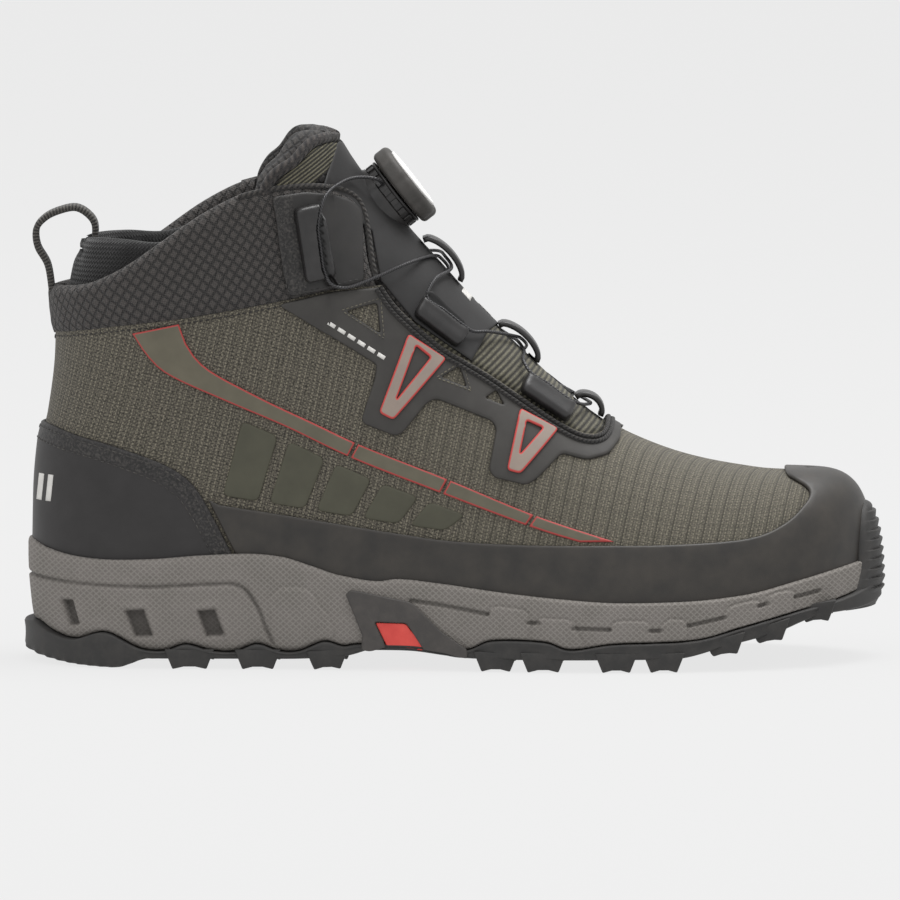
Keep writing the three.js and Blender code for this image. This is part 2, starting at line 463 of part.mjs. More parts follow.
// A turned solid on the dial's axis, from [radius, height] points.
function turned(points) {
  const geometry = new THREE.LatheGeometry(points.map(([r, h]) => new THREE.Vector2(r, h)), DIAL_SEGMENTS);
  geometry.rotateX(Math.PI / 2);
  geometry.applyMatrix4(dialTurn);
  geometry.translate(DIAL_SEAT.x, DIAL_SEAT.y, DIAL_SEAT.z);
  return solidFrom(geometry);
}
const SPOOL_FLOOR = 0.9;
const POCKET_RADIUS = SPOOL_RADIUS + RUNNING_GAP;
const SPINDLE_RADIUS = 1.9;
const SPOOL_BORE = SPINDLE_RADIUS + RUNNING_GAP;
const STUB_RADIUS = 3.0;
const DRUM_RADIUS = 5.2;
const FLANGE_THICKNESS = 0.8;
const KNOB_GAP = 0.5;
const CAP_RADIUS = 11.8;
const CAP_THICKNESS = 1.4;
function buildDial(laceCut) {
  const top = BASE_HEIGHT;
  const base = turned([[0, -9], [BASE_RADIUS, -9], [BASE_RADIUS, top - 0.8], [BASE_RADIUS - 0.8, top], [POCKET_RADIUS, top],
    [POCKET_RADIUS, SPOOL_FLOOR], [SPINDLE_RADIUS, SPOOL_FLOOR], [SPINDLE_RADIUS, SPOOL_FLOOR + 1.6], [0, SPOOL_FLOOR + 1.6]]);
  const seat = formSolid(SHIELD_THICKNESS + CLEARANCE, { cutter: true });
  add("dial_base", base.subtract(seat).subtract(laceCut), FINISH.plastic);
  const low = SPOOL_FLOOR + RUNNING_GAP;
  const high = top - 0.1;
  const stubFloor = low + 2.2;
  add("dial_spool", turned([[SPOOL_BORE, low], [SPOOL_RADIUS, low], [SPOOL_RADIUS, low + FLANGE_THICKNESS], [DRUM_RADIUS, low + FLANGE_THICKNESS],
    [DRUM_RADIUS, high - FLANGE_THICKNESS], [SPOOL_RADIUS, high - FLANGE_THICKNESS], [SPOOL_RADIUS, high],
    [STUB_RADIUS + CLEARANCE, high], [STUB_RADIUS + CLEARANCE, stubFloor], [SPOOL_BORE, stubFloor], [SPOOL_BORE, low]]), FINISH.plastic);
  const under = top + KNOB_GAP;
  const crown = under + KNOB_HEIGHT;
  const recess = crown - CAP_THICKNESS / 2;
  add("dial_knob", turned([[0, stubFloor + CLEARANCE], [STUB_RADIUS, stubFloor + CLEARANCE], [STUB_RADIUS, under], [KNOB_RADIUS - 1.4, under],
    [KNOB_RADIUS, under + 1.2], [KNOB_RADIUS, crown - 1.4], [KNOB_RADIUS - 1.4, crown], [CAP_RADIUS + CLEARANCE, crown],
    [CAP_RADIUS + CLEARANCE, recess], [0, recess]]), FINISH.knob);
  add("dial_cap", turned([[0, recess + CLEARANCE], [CAP_RADIUS, recess + CLEARANCE], [CAP_RADIUS, recess + CAP_THICKNESS - 0.3],
    [CAP_RADIUS - 0.6, recess + CAP_THICKNESS], [0, recess + CAP_THICKNESS]]), FINISH.cap);
}

// ---------------------------------------------------------------- lace and its guides
// The point of the form at a drawn X and Z on one side, moved out by a distance.
function onForm(x, z, side, out) {
  const STEP = 1e-4;
  let [t, w] = [0.5, 0.5];
  for (let pass = 0; pass < 60; pass++) {
    const here = formPoint(t, w, side);
    const [missX, missZ] = [x * KX - here.x, z * KZ - here.z];
    const alongT = formPoint(t + STEP, w, side).sub(here).divideScalar(STEP);
    const alongW = formPoint(t, w + STEP, side).sub(here).divideScalar(STEP);
    const area = alongT.x * alongW.z - alongW.x * alongT.z;
    const dt = (missX * alongW.z - alongW.x * missZ) / area;
    const dw = (alongT.x * missZ - missX * alongT.z) / area;
    t = clamp(t + clamp(dt, -0.1, 0.1), 0.01, 0.99);
    w = clamp(w + clamp(dw, -0.1, 0.1), 0.01, 0.99);
  }
  return formPoint(t, w, side, out);
}
// A point over the ridge: at a drawn X, a real distance sideways and above the surface.
function overRidge(x, sideways, out) {
  const side = sideways < 0 ? -1 : 1;
  const t = mix(LEG_END, TOE_START, (x - LEG_FRONT) / (ROUND_FRONT - LEG_FRONT));
  let [low, high] = [0, 1];
  for (let pass = 0; pass < 40; pass++) {
    const middle = (low + high) / 2;
    if (Math.abs(formPoint(t, middle, side, out).y - ridgeSide(x) * KY) > Math.abs(sideways)) low = middle;
    else high = middle;
  }
  return formPoint(t, (low + high) / 2, side, out);
}
const PANEL_TOP = COLLAR_PROUD + CLEARANCE + PANEL_THICKNESS;
const GUIDE = {
  ankle: { outline: [[-55.8, 161.8], [-49.1, 163.7], [-44.5, 137.3], [-51.9, 136.2]], from: PANEL_TOP + CLEARANCE },
  upper: { outline: [[-10.4, 131.3], [-13.8, 125.9], [2.1, 113.9], [4.8, 118.9]], from: OVERLAY_TO + CLEARANCE },
  lower: { outline: [[25.8, 103.2], [23.7, 99.1], [40.6, 87.8], [42.7, 92.3]], from: OVERLAY_TO + CLEARANCE },
};
// Centre guides stand on the tongue, each a strap loop along the ridge that the lace passes under.
const CENTRE_GUIDES = { upper: [-12.4, 0.6], middle: [15.2, 28.6], lower: [42.6, 51.4] };
const LACE_RADIUS = LACE_DIAMETER / 2;
const LACE_LIFT = 0.4; // above the surface where two runs cross
const LACE_STEPS = 76;
const LACE_SIDES = 8;
const GUIDE_FROM_RIDGE = 13; // the side guides keep this far from the middle of the tongue
const CENTRE_GUIDE_RISE = 5.2;
const CENTRE_STRAP = 1.1;
const CENTRE_GUIDE_WIDTH = 13;

function lacePoints() {
  const out = { ankle: GUIDE.ankle.from + GUIDE_HEIGHT / 2, facing: GUIDE.upper.from + GUIDE_HEIGHT / 2 };
  const laceHeight = SPOOL_FLOOR + RUNNING_GAP + FLANGE_THICKNESS + LACE_RADIUS + 0.25;
  // One half of the lace: it leaves the dial on one side and crosses over under each centre guide.
  const half = (side, under) => {
    const across = (x0, x1, s, base) => {
      const height = base + LACE_LIFT + LACE_RADIUS + (under ? 0 : LACE_DIAMETER + CLEARANCE);
      return [[x0, s * 7.5], [(x0 + x1) / 2, s * 0.01], [x1, -s * 7.5]].map(([x, y]) => overRidge(x, y, height));
    };
    return [
      dialPoint(laceHeight, side * (DRUM_RADIUS + 1.4), 0.5),
      dialPoint(laceHeight, side * 10, 4.5),
      dialPoint(laceHeight - 0.6, side * 15, 8.6),
      onForm(-37.6, 171.5, side, 3),
      onForm(-44.6, 170.1, side, PANEL_TOP + 1.4),
      onForm(-48.6, 166.9, side, out.ankle),
      onForm(-50.2, 161.9, side, out.ankle),
      onForm(-50.6, 155.5, side, out.ankle),
      onForm(-49.4, 148.5, side, out.ankle),
      onForm(-48, 141, side, out.ankle),
      onForm(-45.4, 135.9, side, PANEL_TOP + 2.2),
      onForm(-40.3, 134.1, side, PANEL_TOP + 2),
      onForm(-30, 135.7, side, PANEL_TOP + 1.6),
      onForm(-19.5, 139.7, side, 4.2),
      ...across(-8.4, -3.6, side, SHIELD_THICKNESS),
      onForm(-9.4, 134, -side, 3.4),
      onForm(-11.4, 128.1, -side, out.facing),
      onForm(-5.6, 123.8, -side, out.facing),
      onForm(0.6, 118.8, -side, out.facing),
      onForm(4.4, 116.4, -side, out.facing - 0.4),
      onForm(10, 115.8, -side, 3),
      ...across(19.6, 23.8, -side, 0),
      onForm(22.6, 105, side, 3),
      onForm(25.2, 100.7, side, out.facing),
      onForm(31, 96.8, side, out.facing),
      onForm(37, 92.1, side, out.facing),
      onForm(41.6, 89.6, side, out.facing),
      overRidge(46, side * 8.5, 2.2),
    ];
  };
  return [...half(-1, true), overRidge(47, 0.01, 2), ...half(1, false).reverse()];
}
function laceTube(radius) {
  const curve = new THREE.CatmullRomCurve3(lacePoints(), false, "centripetal");
  const section = new THREE.Shape(Array.from({ length: LACE_SIDES }, (_, i) => {
    const angle = (2 * Math.PI * i) / LACE_SIDES;
    return new THREE.Vector2(radius * Math.cos(angle), radius * Math.sin(angle));
  }));
  return solidFrom(new THREE.ExtrudeGeometry(section, { steps: LACE_STEPS, extrudePath: curve, bevelEnabled: false }));
}
function buildGuides(laceCut) {
  for (const [name, { outline: shape, from }] of Object.entries(GUIDE)) {
    const block = wall(from, from + GUIDE_HEIGHT);
    for (const [sideName, y0, y1] of [["lateral", -90, -GUIDE_FROM_RIDGE], ["medial", GUIDE_FROM_RIDGE, 90]]) {
      const label = name === "ankle" ? `ankle_guide_${sideName}` : `facing_guide_${name}_${sideName}`;
      add(label, block.intersect(prism(shape, y0, y1)).subtract(laceCut), FINISH.plastic);
    }
  }
  for (const [name, [x0, x1]] of Object.entries(CENTRE_GUIDES)) {
    const foot = 2.2; // length of each sewn foot of the strap
    const seat = name === "upper" ? SHIELD_THICKNESS + CLEARANCE : 0; // on the shield, or on the tongue itself
    const at = (x, out) => {
      const slope = ((ridgeHeight(x + 1) - ridgeHeight(x - 1)) * KZ) / (2 * KX);
      const size = Math.hypot(1, slope);
      return [x * KX - (slope / size) * out, ridgeHeight(x) * KZ + out / size];
    };
    const steps = 8;
    const outer = [];
    const inner = [];
    for (let i = 0; i <= steps; i++) {
      const share = i / steps;
      const rise = Math.sin(Math.PI * share) ** 0.4;
      outer.push(at(mix(x0, x1, share), mix(seat + CENTRE_STRAP, seat + CENTRE_GUIDE_RISE, rise)));
      inner.unshift(at(mix(x0 + foot, x1 - foot, share), mix(-1, seat + CENTRE_GUIDE_RISE - CENTRE_STRAP, rise)));
    }
    const middle = (ridgeSide((x0 + x1) / 2)) * KY;
    const arch = prism([at(x0, -6), ...outer, at(x1, -6), ...inner], middle - CENTRE_GUIDE_WIDTH / 2, middle + CENTRE_GUIDE_WIDTH / 2, false);
    add(`tongue_guide_${name}`, arch.subtract(formSolid(seat, { cutter: true })).subtract(laceCut), FINISH.plastic);
  }
}

// ---------------------------------------------------------------- sole
const SOLE_TOP = profile([[-151, 44.4], [-143.1, 41], [-132.5, 38.8], [-121.9, 38.1], [-107.8, 38.4], [-90.1, 39.8], [-72.4, 40.5],
  [-61.8, 39.6], [-51.2, 36.5], [-40.6, 33.1], [-26.5, 31.1], [-20.5, 31.9], [-5.3, 30.5], [15.9, 27.7], [37.1, 25.5], [58.3, 24.2],
  [79.5, 24.5], [100.7, 26.3], [121.9, 31], [139.6, 35.1], [147, 36.5]]);
// Where the outsole ends and the midsole begins, behind and in front of the arch, and round the arch bridge.
const OUTSOLE_LINE = [[-156, 12.2], [-146.7, 14.4], [-139.6, 11.3], [-132, 9.8], [-122, 12.6], [-111.3, 7.2], [-102.5, 6.3], [-94.7, 8.6],
  [-85.9, 6.4], [-77.7, 6.1], [-69.6, 8.8], [-61.8, 6.4], [-54.8, 6.4], [-45.9, 9.8], [-38.9, 8.3], [-33, 10]];
const OUTSOLE_FRONT_LINE = [[3.5, 7.2], [14, 10.7], [31.8, 10.5], [41, 7.8], [56.5, 9.9], [83, 11], [99, 15], [118.4, 19.9], [132.5, 23.2],
  [141.4, 26.3], [148, 31.6], [156, 39.6]];
const ARCH_SIDE = [[-38.5, 26.7], [-37.2, 28.2], [-33.9, 27.9], [-15.5, 24.2], [-11.7, 20.7], [-5.3, 14.3]];
const ARCH_WINDOW = [[-27.9, 16.8], [-17.4, 16.5], [-10, 5.6], [-22.7, 5.6]];
const ARCH_DEPTH = 12; // the arch bridge is a block this deep on each side
const INSERT_DEPTH = 8;
const OUTSOLE_BOTTOM = [[156, 35.6], [152.4, 29.6], [149.5, 23.8], [144, 20.5], [138, 19.3], [128, 18.6], [111, 13], [95, 9.2], [76, 4.8], [20, 4.3], [2.5, 4.8], [-10.2, 7.3],
  [-23.7, 8.4], [-39, 4.8], [-60, 3.7], [-108, 3.6], [-119, 0.3], [-130, 0.8], [-142, 2.6], [-150, 5.1], [-156, 9.6]];
const BUMPER = [[139.5, 17.6], [144, 19.6], [149.5, 23.8], [152.4, 29.6], [160, 33.6], [160, 51.6], [151, 55.6], [146.6, 56.8], [145, 52.6], [144.6, 35.6]];
// Rows of lugs: centre X, ground height under them, and half-length where they touch the ground.
const LUGS = [[-93.7, 0, 6], [-69.6, 0, 5.4], [-45, 0, 4.6], [14.3, 0, 5], [31, 0, 5.4], [56.7, 0, 4.8], [73.5, 0, 4.6], [95.2, 5.3, 4.2],
  [111.3, 9.3, 4], [127.9, 15.7, 4]];
const LUG_SPANS = [[0, 0.27], [0.35, 0.475], [0.525, 0.65], [0.73, 1]]; // blocks across the sole, as shares of its width
const LUG_ROOT = 6; // a lug's root is buried this far above the ground
const LUG_FLARE = 2.6; // a lug's root is this much longer than its foot, each way
const LUG_TAPER = 1.4; // and this much wider, each way
const SHANK_DROP = 1; // the shank lies this far under the lasting board
const SHANK = [-88, -52, -16, 20].map((x) => [x, featherHeight(x) - SHANK_DROP - SHANK_THICKNESS]); // its underside
const SHANK_SPAN = [-11, 7];

// A solid between levels whose outline stands out from the upper's by sideOut at the sides and by the others at the ends.
function soleBlock(levels) {
  const rings = levels.map(({ height, sideOut, heelOut, toeOut }) => {
    const row = { lateral: [], medial: [] };
    for (const t of COLUMNS) {
      const x = columnX(t);
      const out = mix(x < 0 ? heelOut : toeOut, sideOut, endRound(x) ** 1.5);
      for (const [name, side] of [["lateral", -1], ["medial", 1]]) {
        const [px, py] = outline(t, side, out);
        row[name].push(new THREE.Vector3(px, py, height(x) * KZ));
      }
    }
    return row;
  });
  return ringSolid(rings, COLUMNS.length - 1);
}
// A block with upright walls, the same distance out all round.
const uprightBlock = (out) => soleBlock([-10, 60].map((z) => ({ height: () => z, sideOut: out, heelOut: out, toeOut: out })));
// What lies under the outsole's upper line. The arch bridge goes only ARCH_DEPTH in from each side.
function underLine(gap) {
  const line = [...OUTSOLE_LINE, ...OUTSOLE_FRONT_LINE];
  const low = prism(grown([[-156, -30], ...line, [156, -30]], gap));
  const bridge = prism(grown([[-33, 0], [-32.6, 12], ...ARCH_SIDE, [3.5, 7.3], [3.5, 0]], gap));
  return low.add(bridge.subtract(uprightBlock(-ARCH_DEPTH - gap)));
}
function lugRow([x, ground, halfLength]) {
  const t = COLUMNS.reduce((best, u) => (Math.abs(columnX(u) - x) < Math.abs(columnX(best) - x) ? u : best), 0);
  const [lateral, medial] = [-1, 1].map((side) => outline(t, side, SOLE_EDGE)[1]);
  return LUG_SPANS.map(([from, to]) => {
    const [y0, y1] = [mix(lateral, medial, from), mix(lateral, medial, to)];
    const level = (z, longer, wider) => [[-1, y0 - wider], [1, y0 - wider], [1, y1 + wider], [-1, y1 + wider]]
      .map(([end, y]) => [x * KX + end * (halfLength + longer), y, z * KZ]);
    const corners = [...level(ground, 0, -LUG_TAPER), ...level(ground + LUG_ROOT, LUG_FLARE, 0)];
    const geometry = new THREE.BufferGeometry();
    geometry.setAttribute("position", new THREE.BufferAttribute(new Float32Array(corners.flat()), 3));
    const walls = [0, 1, 2, 3].flatMap((i) => [i, (i + 1) % 4, 4 + ((i + 1) % 4), i, 4 + ((i + 1) % 4), 4 + i]);
    geometry.setIndex([0, 2, 1, 0, 3, 2, 4, 5, 6, 4, 6, 7, ...walls]);
    return solidFrom(geometry);
  });
}
function buildMidsole() {
  const cup = formSolid(SOLE_CUP, { lift: -CLEARANCE });
  const shares = [[0, -1.4, -2.6, 0], [0.45, 0.6, 1.4, 2.4], [0.85, 0, 2.6, 2.8], [1, -SOLE_WALL * 0.55, 2.3, 2.4]];
  const block = soleBlock(shares.map(([share, sideOut, heelOut, toeOut]) => ({
    height: (x) => mix(2, SOLE_TOP(x), share), sideOut: SOLE_CUP + SOLE_WALL + sideOut, heelOut, toeOut,
  })));
  const shankBed = prism([...grown([...SHANK, [20, 40], [-88, 40]], CLEARANCE)], SHANK_SPAN[0] - CLEARANCE, SHANK_SPAN[1] + CLEARANCE);
  const midsole = block.subtract(cup).subtract(underLine(CLEARANCE)).subtract(prism(grown(BUMPER, 2 * CLEARANCE))).subtract(shankBed);
  add("midsole", midsole, FINISH.foam);
  const shank = prism([...SHANK, ...shift(SHANK, 0, SHANK_THICKNESS).reverse()], ...SHANK_SPAN);
  add("shank", shank, FINISH.stiffener);
}
function buildOutsole() {
  const levels = [[-2, -1.5, 0, 2], [6, 0, HEEL_LIP - 0.8, 4], [12, 0, HEEL_LIP, 6], [44, 0, HEEL_LIP, 6]];
  const block = soleBlock(levels.map(([z, sideOut, heelOut, toeOut]) => ({ height: () => z, sideOut: SOLE_EDGE + sideOut, heelOut, toeOut })));
  const plate = [...OUTSOLE_BOTTOM].reverse();
  const above = prism([...plate, [156, 80], [-156, 80]]);
  let outsole = block.intersect(above);
  for (const lug of LUGS.flatMap(lugRow)) outsole = outsole.add(lug.intersect(block));
  outsole = outsole.intersect(underLine(0));
  const bumper = formSolid(BUMPER_REACH, { lift: -12 }).intersect(prism(BUMPER));
  const windows = prism(grown(ARCH_WINDOW, CLEARANCE)).subtract(uprightBlock(-INSERT_DEPTH - CLEARANCE));
  add("outsole", outsole.add(bumper).subtract(formSolid(SOLE_CUP + CLEARANCE, { lift: -CLEARANCE })).subtract(windows), FINISH.rubber);
  const insert = uprightBlock(SOLE_EDGE - 0.6).intersect(above).subtract(uprightBlock(-INSERT_DEPTH));
  add("arch_insert_lateral", insert.intersect(prism(ARCH_WINDOW, -90, 0)), FINISH.red);
  add("arch_insert_medial", insert.intersect(prism(ARCH_WINDOW, 0, 90)), FINISH.red);
}
function buildInsole() {
  const sheet = (from, to, out) => formSolid(out, { lift: from }).subtract(formSolid(SOLE_EDGE, { lift: to }));
  add("lasting_board", sheet(0, BOARD_THICKNESS, 0), FINISH.board);
  const bedFrom = BOARD_THICKNESS + CLEARANCE;
  add("footbed", sheet(bedFrom, bedFrom + FOOTBED_THICKNESS, LAYER.lining[0] - 2 * CLEARANCE), FINISH.footbed);
}

buildUpper();
buildCollar();
buildPullLoop();
buildTongue();
const laceCut = laceTube(LACE_RADIUS + CLEARANCE);
buildDial(laceCut);
buildGuides(laceCut);
add("lace", laceTube(LACE_RADIUS), FINISH.wire);
buildMidsole();
buildOutsole();
buildInsole();
// The footprint is centred across the boot.
boot.position.y = -(centreLine(ROUND_FRONT) * KY);

export default boot;
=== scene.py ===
# A right-foot mid-height hiking boot with a dial lacing system.
# The upper is a set of sewn sheets, films and pads laid on one smooth form, and the sole is a set of swept walls.
# The form is drawn in millimetres; everything is put into the scene in metres. +X is the toe, +Z is up.
import math

import bmesh
import bpy
import numpy as np
from mathutils import Matrix, Vector, kdtree
from mathutils.geometry import delaunay_2d_cdt


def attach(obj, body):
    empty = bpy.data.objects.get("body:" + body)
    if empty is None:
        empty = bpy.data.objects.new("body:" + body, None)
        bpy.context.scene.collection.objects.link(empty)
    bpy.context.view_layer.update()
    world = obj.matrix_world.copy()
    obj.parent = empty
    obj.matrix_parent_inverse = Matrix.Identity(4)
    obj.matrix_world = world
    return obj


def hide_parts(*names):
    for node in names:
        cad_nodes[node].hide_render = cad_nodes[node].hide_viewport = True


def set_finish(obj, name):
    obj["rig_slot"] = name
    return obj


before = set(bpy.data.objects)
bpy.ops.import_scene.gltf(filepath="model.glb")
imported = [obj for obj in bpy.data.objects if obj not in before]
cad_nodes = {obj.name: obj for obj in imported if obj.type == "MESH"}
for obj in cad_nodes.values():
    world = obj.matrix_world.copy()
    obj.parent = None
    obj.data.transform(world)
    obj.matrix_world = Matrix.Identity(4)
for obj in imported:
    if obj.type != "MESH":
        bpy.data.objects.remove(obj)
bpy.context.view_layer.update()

MM = 0.001
# The form is drawn round its own middle line, and the boot's footprint is centred by this much sideways.
FORM_SIDEWAYS = 1.2


# ---------------------------------------------------------------- small maths
def mix(a, b, t):
    return a + (b - a) * t


def smooth(start, end, value):
    t = np.clip((value - start) / (end - start), 0, 1)
    return t * t * (3 - 2 * t)


def profile(points):
    """A smooth curve y(x) through points in rising x, which never overshoots them."""
    xs, ys = np.array(points, float).T
    step = np.diff(ys) / np.diff(xs)
    slope = np.zeros(len(xs))
    slope[0], slope[-1] = step[0], step[-1]
    for i in range(1, len(xs) - 1):
        a, b = step[i - 1], step[i]
        slope[i] = 0 if a * b <= 0 else 2 * a * b / (a + b)

    def curve(x):
        x = np.clip(np.asarray(x, float), xs[0], xs[-1])
        i = np.clip(np.searchsorted(xs, x, side="right") - 1, 0, len(xs) - 2)
        h = xs[i + 1] - xs[i]
        t = (x - xs[i]) / h
        t2, t3 = t * t, t * t * t
        return (
            ys[i] * (2 * t3 - 3 * t2 + 1)
            + slope[i] * h * (t3 - 2 * t2 + t)
            + ys[i + 1] * (3 * t2 - 2 * t3)
            + slope[i + 1] * h * (t3 - t2)
        )

    return curve


def through(points, steps=72):
    """A smooth line through a few points, as evenly stepped points."""
    p = np.array(points, float)
    n = len(p)
    place = np.linspace(0, n - 1, steps + 1)
    i = np.minimum(place.astype(int), n - 2)
    t = (place - i)[:, None]
    p0, p1 = p[np.maximum(i - 1, 0)], p[i]
    p2, p3 = p[i + 1], p[np.minimum(i + 2, n - 1)]
    v0, v1 = (p2 - p0) / 2, (p3 - p1) / 2
    line = (2 * p1 - 2 * p2 + v0 + v1) * t**3 + (-3 * p1 + 3 * p2 - 2 * v0 - v1) * t**2 + v0 * t + p1
    return [list(q) for q in line]


def moved(points, dx, dz):
    return [[x + dx, z + dz] for x, z in points]


def round_over(distance, reach):
    """Rises as a quarter circle does: 0 at an edge, and 1 from the reach inwards."""
    return np.sqrt(np.clip(1 - (1 - np.clip(distance / reach, 0, 1)) ** 2, 0, 1))


# ---------------------------------------------------------------- the form, the outside of the upper
HEEL_X, TOE_X = -149, 147
HEEL_ARC, TOE_ARC = 37, 82
LEG_FRONT, LEG_BACK = -45, -137
LEG_HALF_WIDTH, LEG_TOP = 41, 192.6
TOE_FLAT = 105
ROUND_FRONT = TOE_X - TOE_ARC
LEG_END, TOE_START = 0.36, 0.78

half_width = profile([[-149, 33], [-112, 34.5], [-80, 35.6], [-50, 35.4], [-20, 37], [10, 41], [40, 46.3], [65, 48.7]])
centre_line = profile(
    [
        [-149, 0], [-80, -0.5], [-50, -2.2], [-20, -3.5], [10, -3.7], [40, -2.7], [65, -1.2], [90, 0.5], [112, 2.2],
        [130, 3.5], [147, 6],
    ]
)
ridge_height = profile(
    [
        [-45, 192.6], [-41.3, 185], [-37.1, 178], [-30, 168.1], [-21.2, 157.8], [-12.4, 147.9], [-3.5, 138],
        [5.3, 128.1], [15.9, 117.5],
    ]
    + [
        [26.5, 107.3], [37.1, 97.4], [47.7, 88.5], [57.6, 82.2], [68.9, 76.9], [79.5, 73], [90.1, 70.2], [100.7, 68.2],
        [112, 66.6], [125, 66],
    ]
)
ridge_side = profile([[-20, 0], [60, 2], [125, 6]])
feather_height = profile(
    [[-149, 26], [-100, 26], [-50, 23.5], [0, 18], [50, 16], [80, 16.8], [100, 19], [120, 24], [140, 28.5], [147, 30]]
)
heel_line = profile(
    [
        [25, -149], [60, -148.4], [78, -146.9], [88, -144.6], [109, -142], [116, -141.8], [131, -142.8], [151, -139],
        [193, -137],
    ]
)
side_round = profile([[-45, 0.82], [40, 0.9], [90, 0.8], [147, 0.62]])


def end_round(x):
    """Half-width of the rounded plan outline, as a share of its full width."""
    heel = np.sqrt(np.maximum(0, 1 - (np.maximum(0, HEEL_X + HEEL_ARC - x) / HEEL_ARC) ** 2))
    toe = np.sqrt(np.maximum(0, 1 - (np.maximum(0, x - ROUND_FRONT) / TOE_ARC) ** 2))
    return np.minimum(heel, toe)


def column_x(t):
    """X of column t: 0 is the middle of the heel and 1 the tip of the toe."""
    leg = mix(HEEL_X, LEG_FRONT, (1 - np.cos(np.pi * t / LEG_END)) / 2)
    instep = mix(LEG_FRONT, ROUND_FRONT, (t - LEG_END) / (TOE_START - LEG_END))
    toe = ROUND_FRONT + TOE_ARC * np.sin(np.clip((t - TOE_START) / (1 - TOE_START), 0, 1) * np.pi / 2)
    return np.where(t < LEG_END, leg, np.where(t < TOE_START, instep, toe))


def plan_outline(t, side, out):
    """Plan outline at column t on one side (-1 lateral, +1 medial), moved out by a distance."""

    def at(u):
        x = column_x(np.clip(u, 0, 1))
        return x, centre_line(x) + side * half_width(x) * end_round(x)

    (x, y), (ax, ay), (bx, by) = at(t), at(t - 2e-3), at(t + 2e-3)
    nx, ny = -(by - ay), bx - ax
    size = np.maximum(np.hypot(nx, ny), 1e-9)
    ends = (t <= 0) | (t >= 1)
    nx = np.where(t <= 0, -1, np.where(t >= 1, 1, nx * side / size))
    ny = np.where(ends, 0, ny * side / size)
    return x + out * nx, y + out * ny


def column_top(t, side, out):
    x = column_x(t)
    angle = np.pi * np.minimum(t, LEG_END) / LEG_END
    centre, radius = (LEG_FRONT + LEG_BACK) / 2, (LEG_FRONT - LEG_BACK) / 2
    leg = (centre - (radius + out) * np.cos(angle), side * (LEG_HALF_WIDTH + out) * np.sin(angle), LEG_TOP + 0 * x)
    flat = np.where(x < TOE_FLAT, x, TOE_FLAT + 20 * np.tanh((x - TOE_FLAT) / 20))
    slope = (ridge_height(flat + 1) - ridge_height(flat - 1)) / 2
    up = smooth(LEG_FRONT, LEG_FRONT + 18, flat) / np.hypot(1, slope)
    ridge = (flat + out * np.sqrt(1 - up * up), ridge_side(flat), ridge_height(flat) + out * up)
    return [np.where(t < LEG_END, a, b) for a, b in zip(leg, ridge)]


def form(t, w, side, out=0.0, lift=0.0):
    """A point of the form: column t, height share w from the sole (0) to the ridge or rim (1), moved out by a
    distance."""
    t, w = np.asarray(t, float), np.asarray(w, float)
    x = column_x(t)
    foot, top = plan_outline(t, side, out), column_top(t, side, out)
    bottom = feather_height(x) + lift
    power = side_round(x)
    sin, cos = np.sin(w * np.pi / 2), np.cos(w * np.pi / 2)
    rise = np.where(w >= 1, 1, np.maximum(sin, 0) ** power)
    turn = np.where(w >= 1, 1, 1 - np.maximum(cos, 0) ** power)
    leg, toe = smooth(-62, -112, x), smooth(70, TOE_FLAT, x)
    sideways = mix(turn, rise, leg)
    along = mix(mix(sin**2, turn, toe), rise, leg)
    z = mix(bottom, top[2], rise)
    behind = np.maximum(0, np.cos(np.pi * t / LEG_END)) * (t < LEG_END)
    hollow = (heel_line(z) - mix(HEEL_X, LEG_BACK, rise)) * behind
    waist = 1 - 0.06 * leg * np.sin(np.pi * rise)
    return np.stack([mix(foot[0], top[0], along) + hollow, mix(foot[1], top[1], sideways) * waist, z], -1)


# Tables of the form: the length up each column, and the length along the boot.
SIDES = {"lateral": -1, "medial": 1}
T_COUNT, W_COUNT = 601, 241
T_STEPS, W_STEPS = np.linspace(0, 1, T_COUNT), np.linspace(0, 1, W_COUNT)
grid_t, grid_w = np.meshgrid(T_STEPS, W_STEPS, indexing="ij")
grid_points = form(grid_t, grid_w, -1)
up_lengths = np.concatenate([np.zeros((T_COUNT, 1)), np.linalg.norm(np.diff(grid_points, axis=1), axis=2).cumsum(1)], 1)
column_length = up_lengths[:, -1]
along_length = np.concatenate([[0], np.linalg.norm(np.diff(grid_points[:, 60], axis=0), axis=1).cumsum()])
share_to_w = np.array([np.interp(W_STEPS, up_lengths[i] / column_length[i], W_STEPS) for i in range(T_COUNT)])
form_tree = kdtree.KDTree(T_COUNT * W_COUNT)
for index, point in enumerate(grid_points.reshape(-1, 3)):
    form_tree.insert((point[0], point[2], 0), index)
form_tree.balance()


def sample(table, t, w):
    """A table's value at column t and height share w."""
    a, b = np.clip(t, 0, 1) * (T_COUNT - 1), np.clip(w, 0, 1) * (W_COUNT - 1)
    i, j = np.minimum(a.astype(int), T_COUNT - 2), np.minimum(b.astype(int), W_COUNT - 2)
    a, b = a - i, b - j
    low = table[i, j] * (1 - b) + table[i, j + 1] * b
    high = table[i + 1, j] * (1 - b) + table[i + 1, j + 1] * b
    return low * (1 - a) + high * a


def flatten(t, w):
    """The place of a point in a flat pattern of the upper: length along the boot, and length up from the sole."""
    return np.stack([np.interp(t, T_STEPS, along_length), sample(up_lengths, t, w)], -1)


def unflatten(flat):
    t = np.interp(flat[:, 0], along_length, T_STEPS)
    share = flat[:, 1] / np.interp(t, T_STEPS, column_length)
    return t, sample(share_to_w, t, np.clip(share, 0, 1))


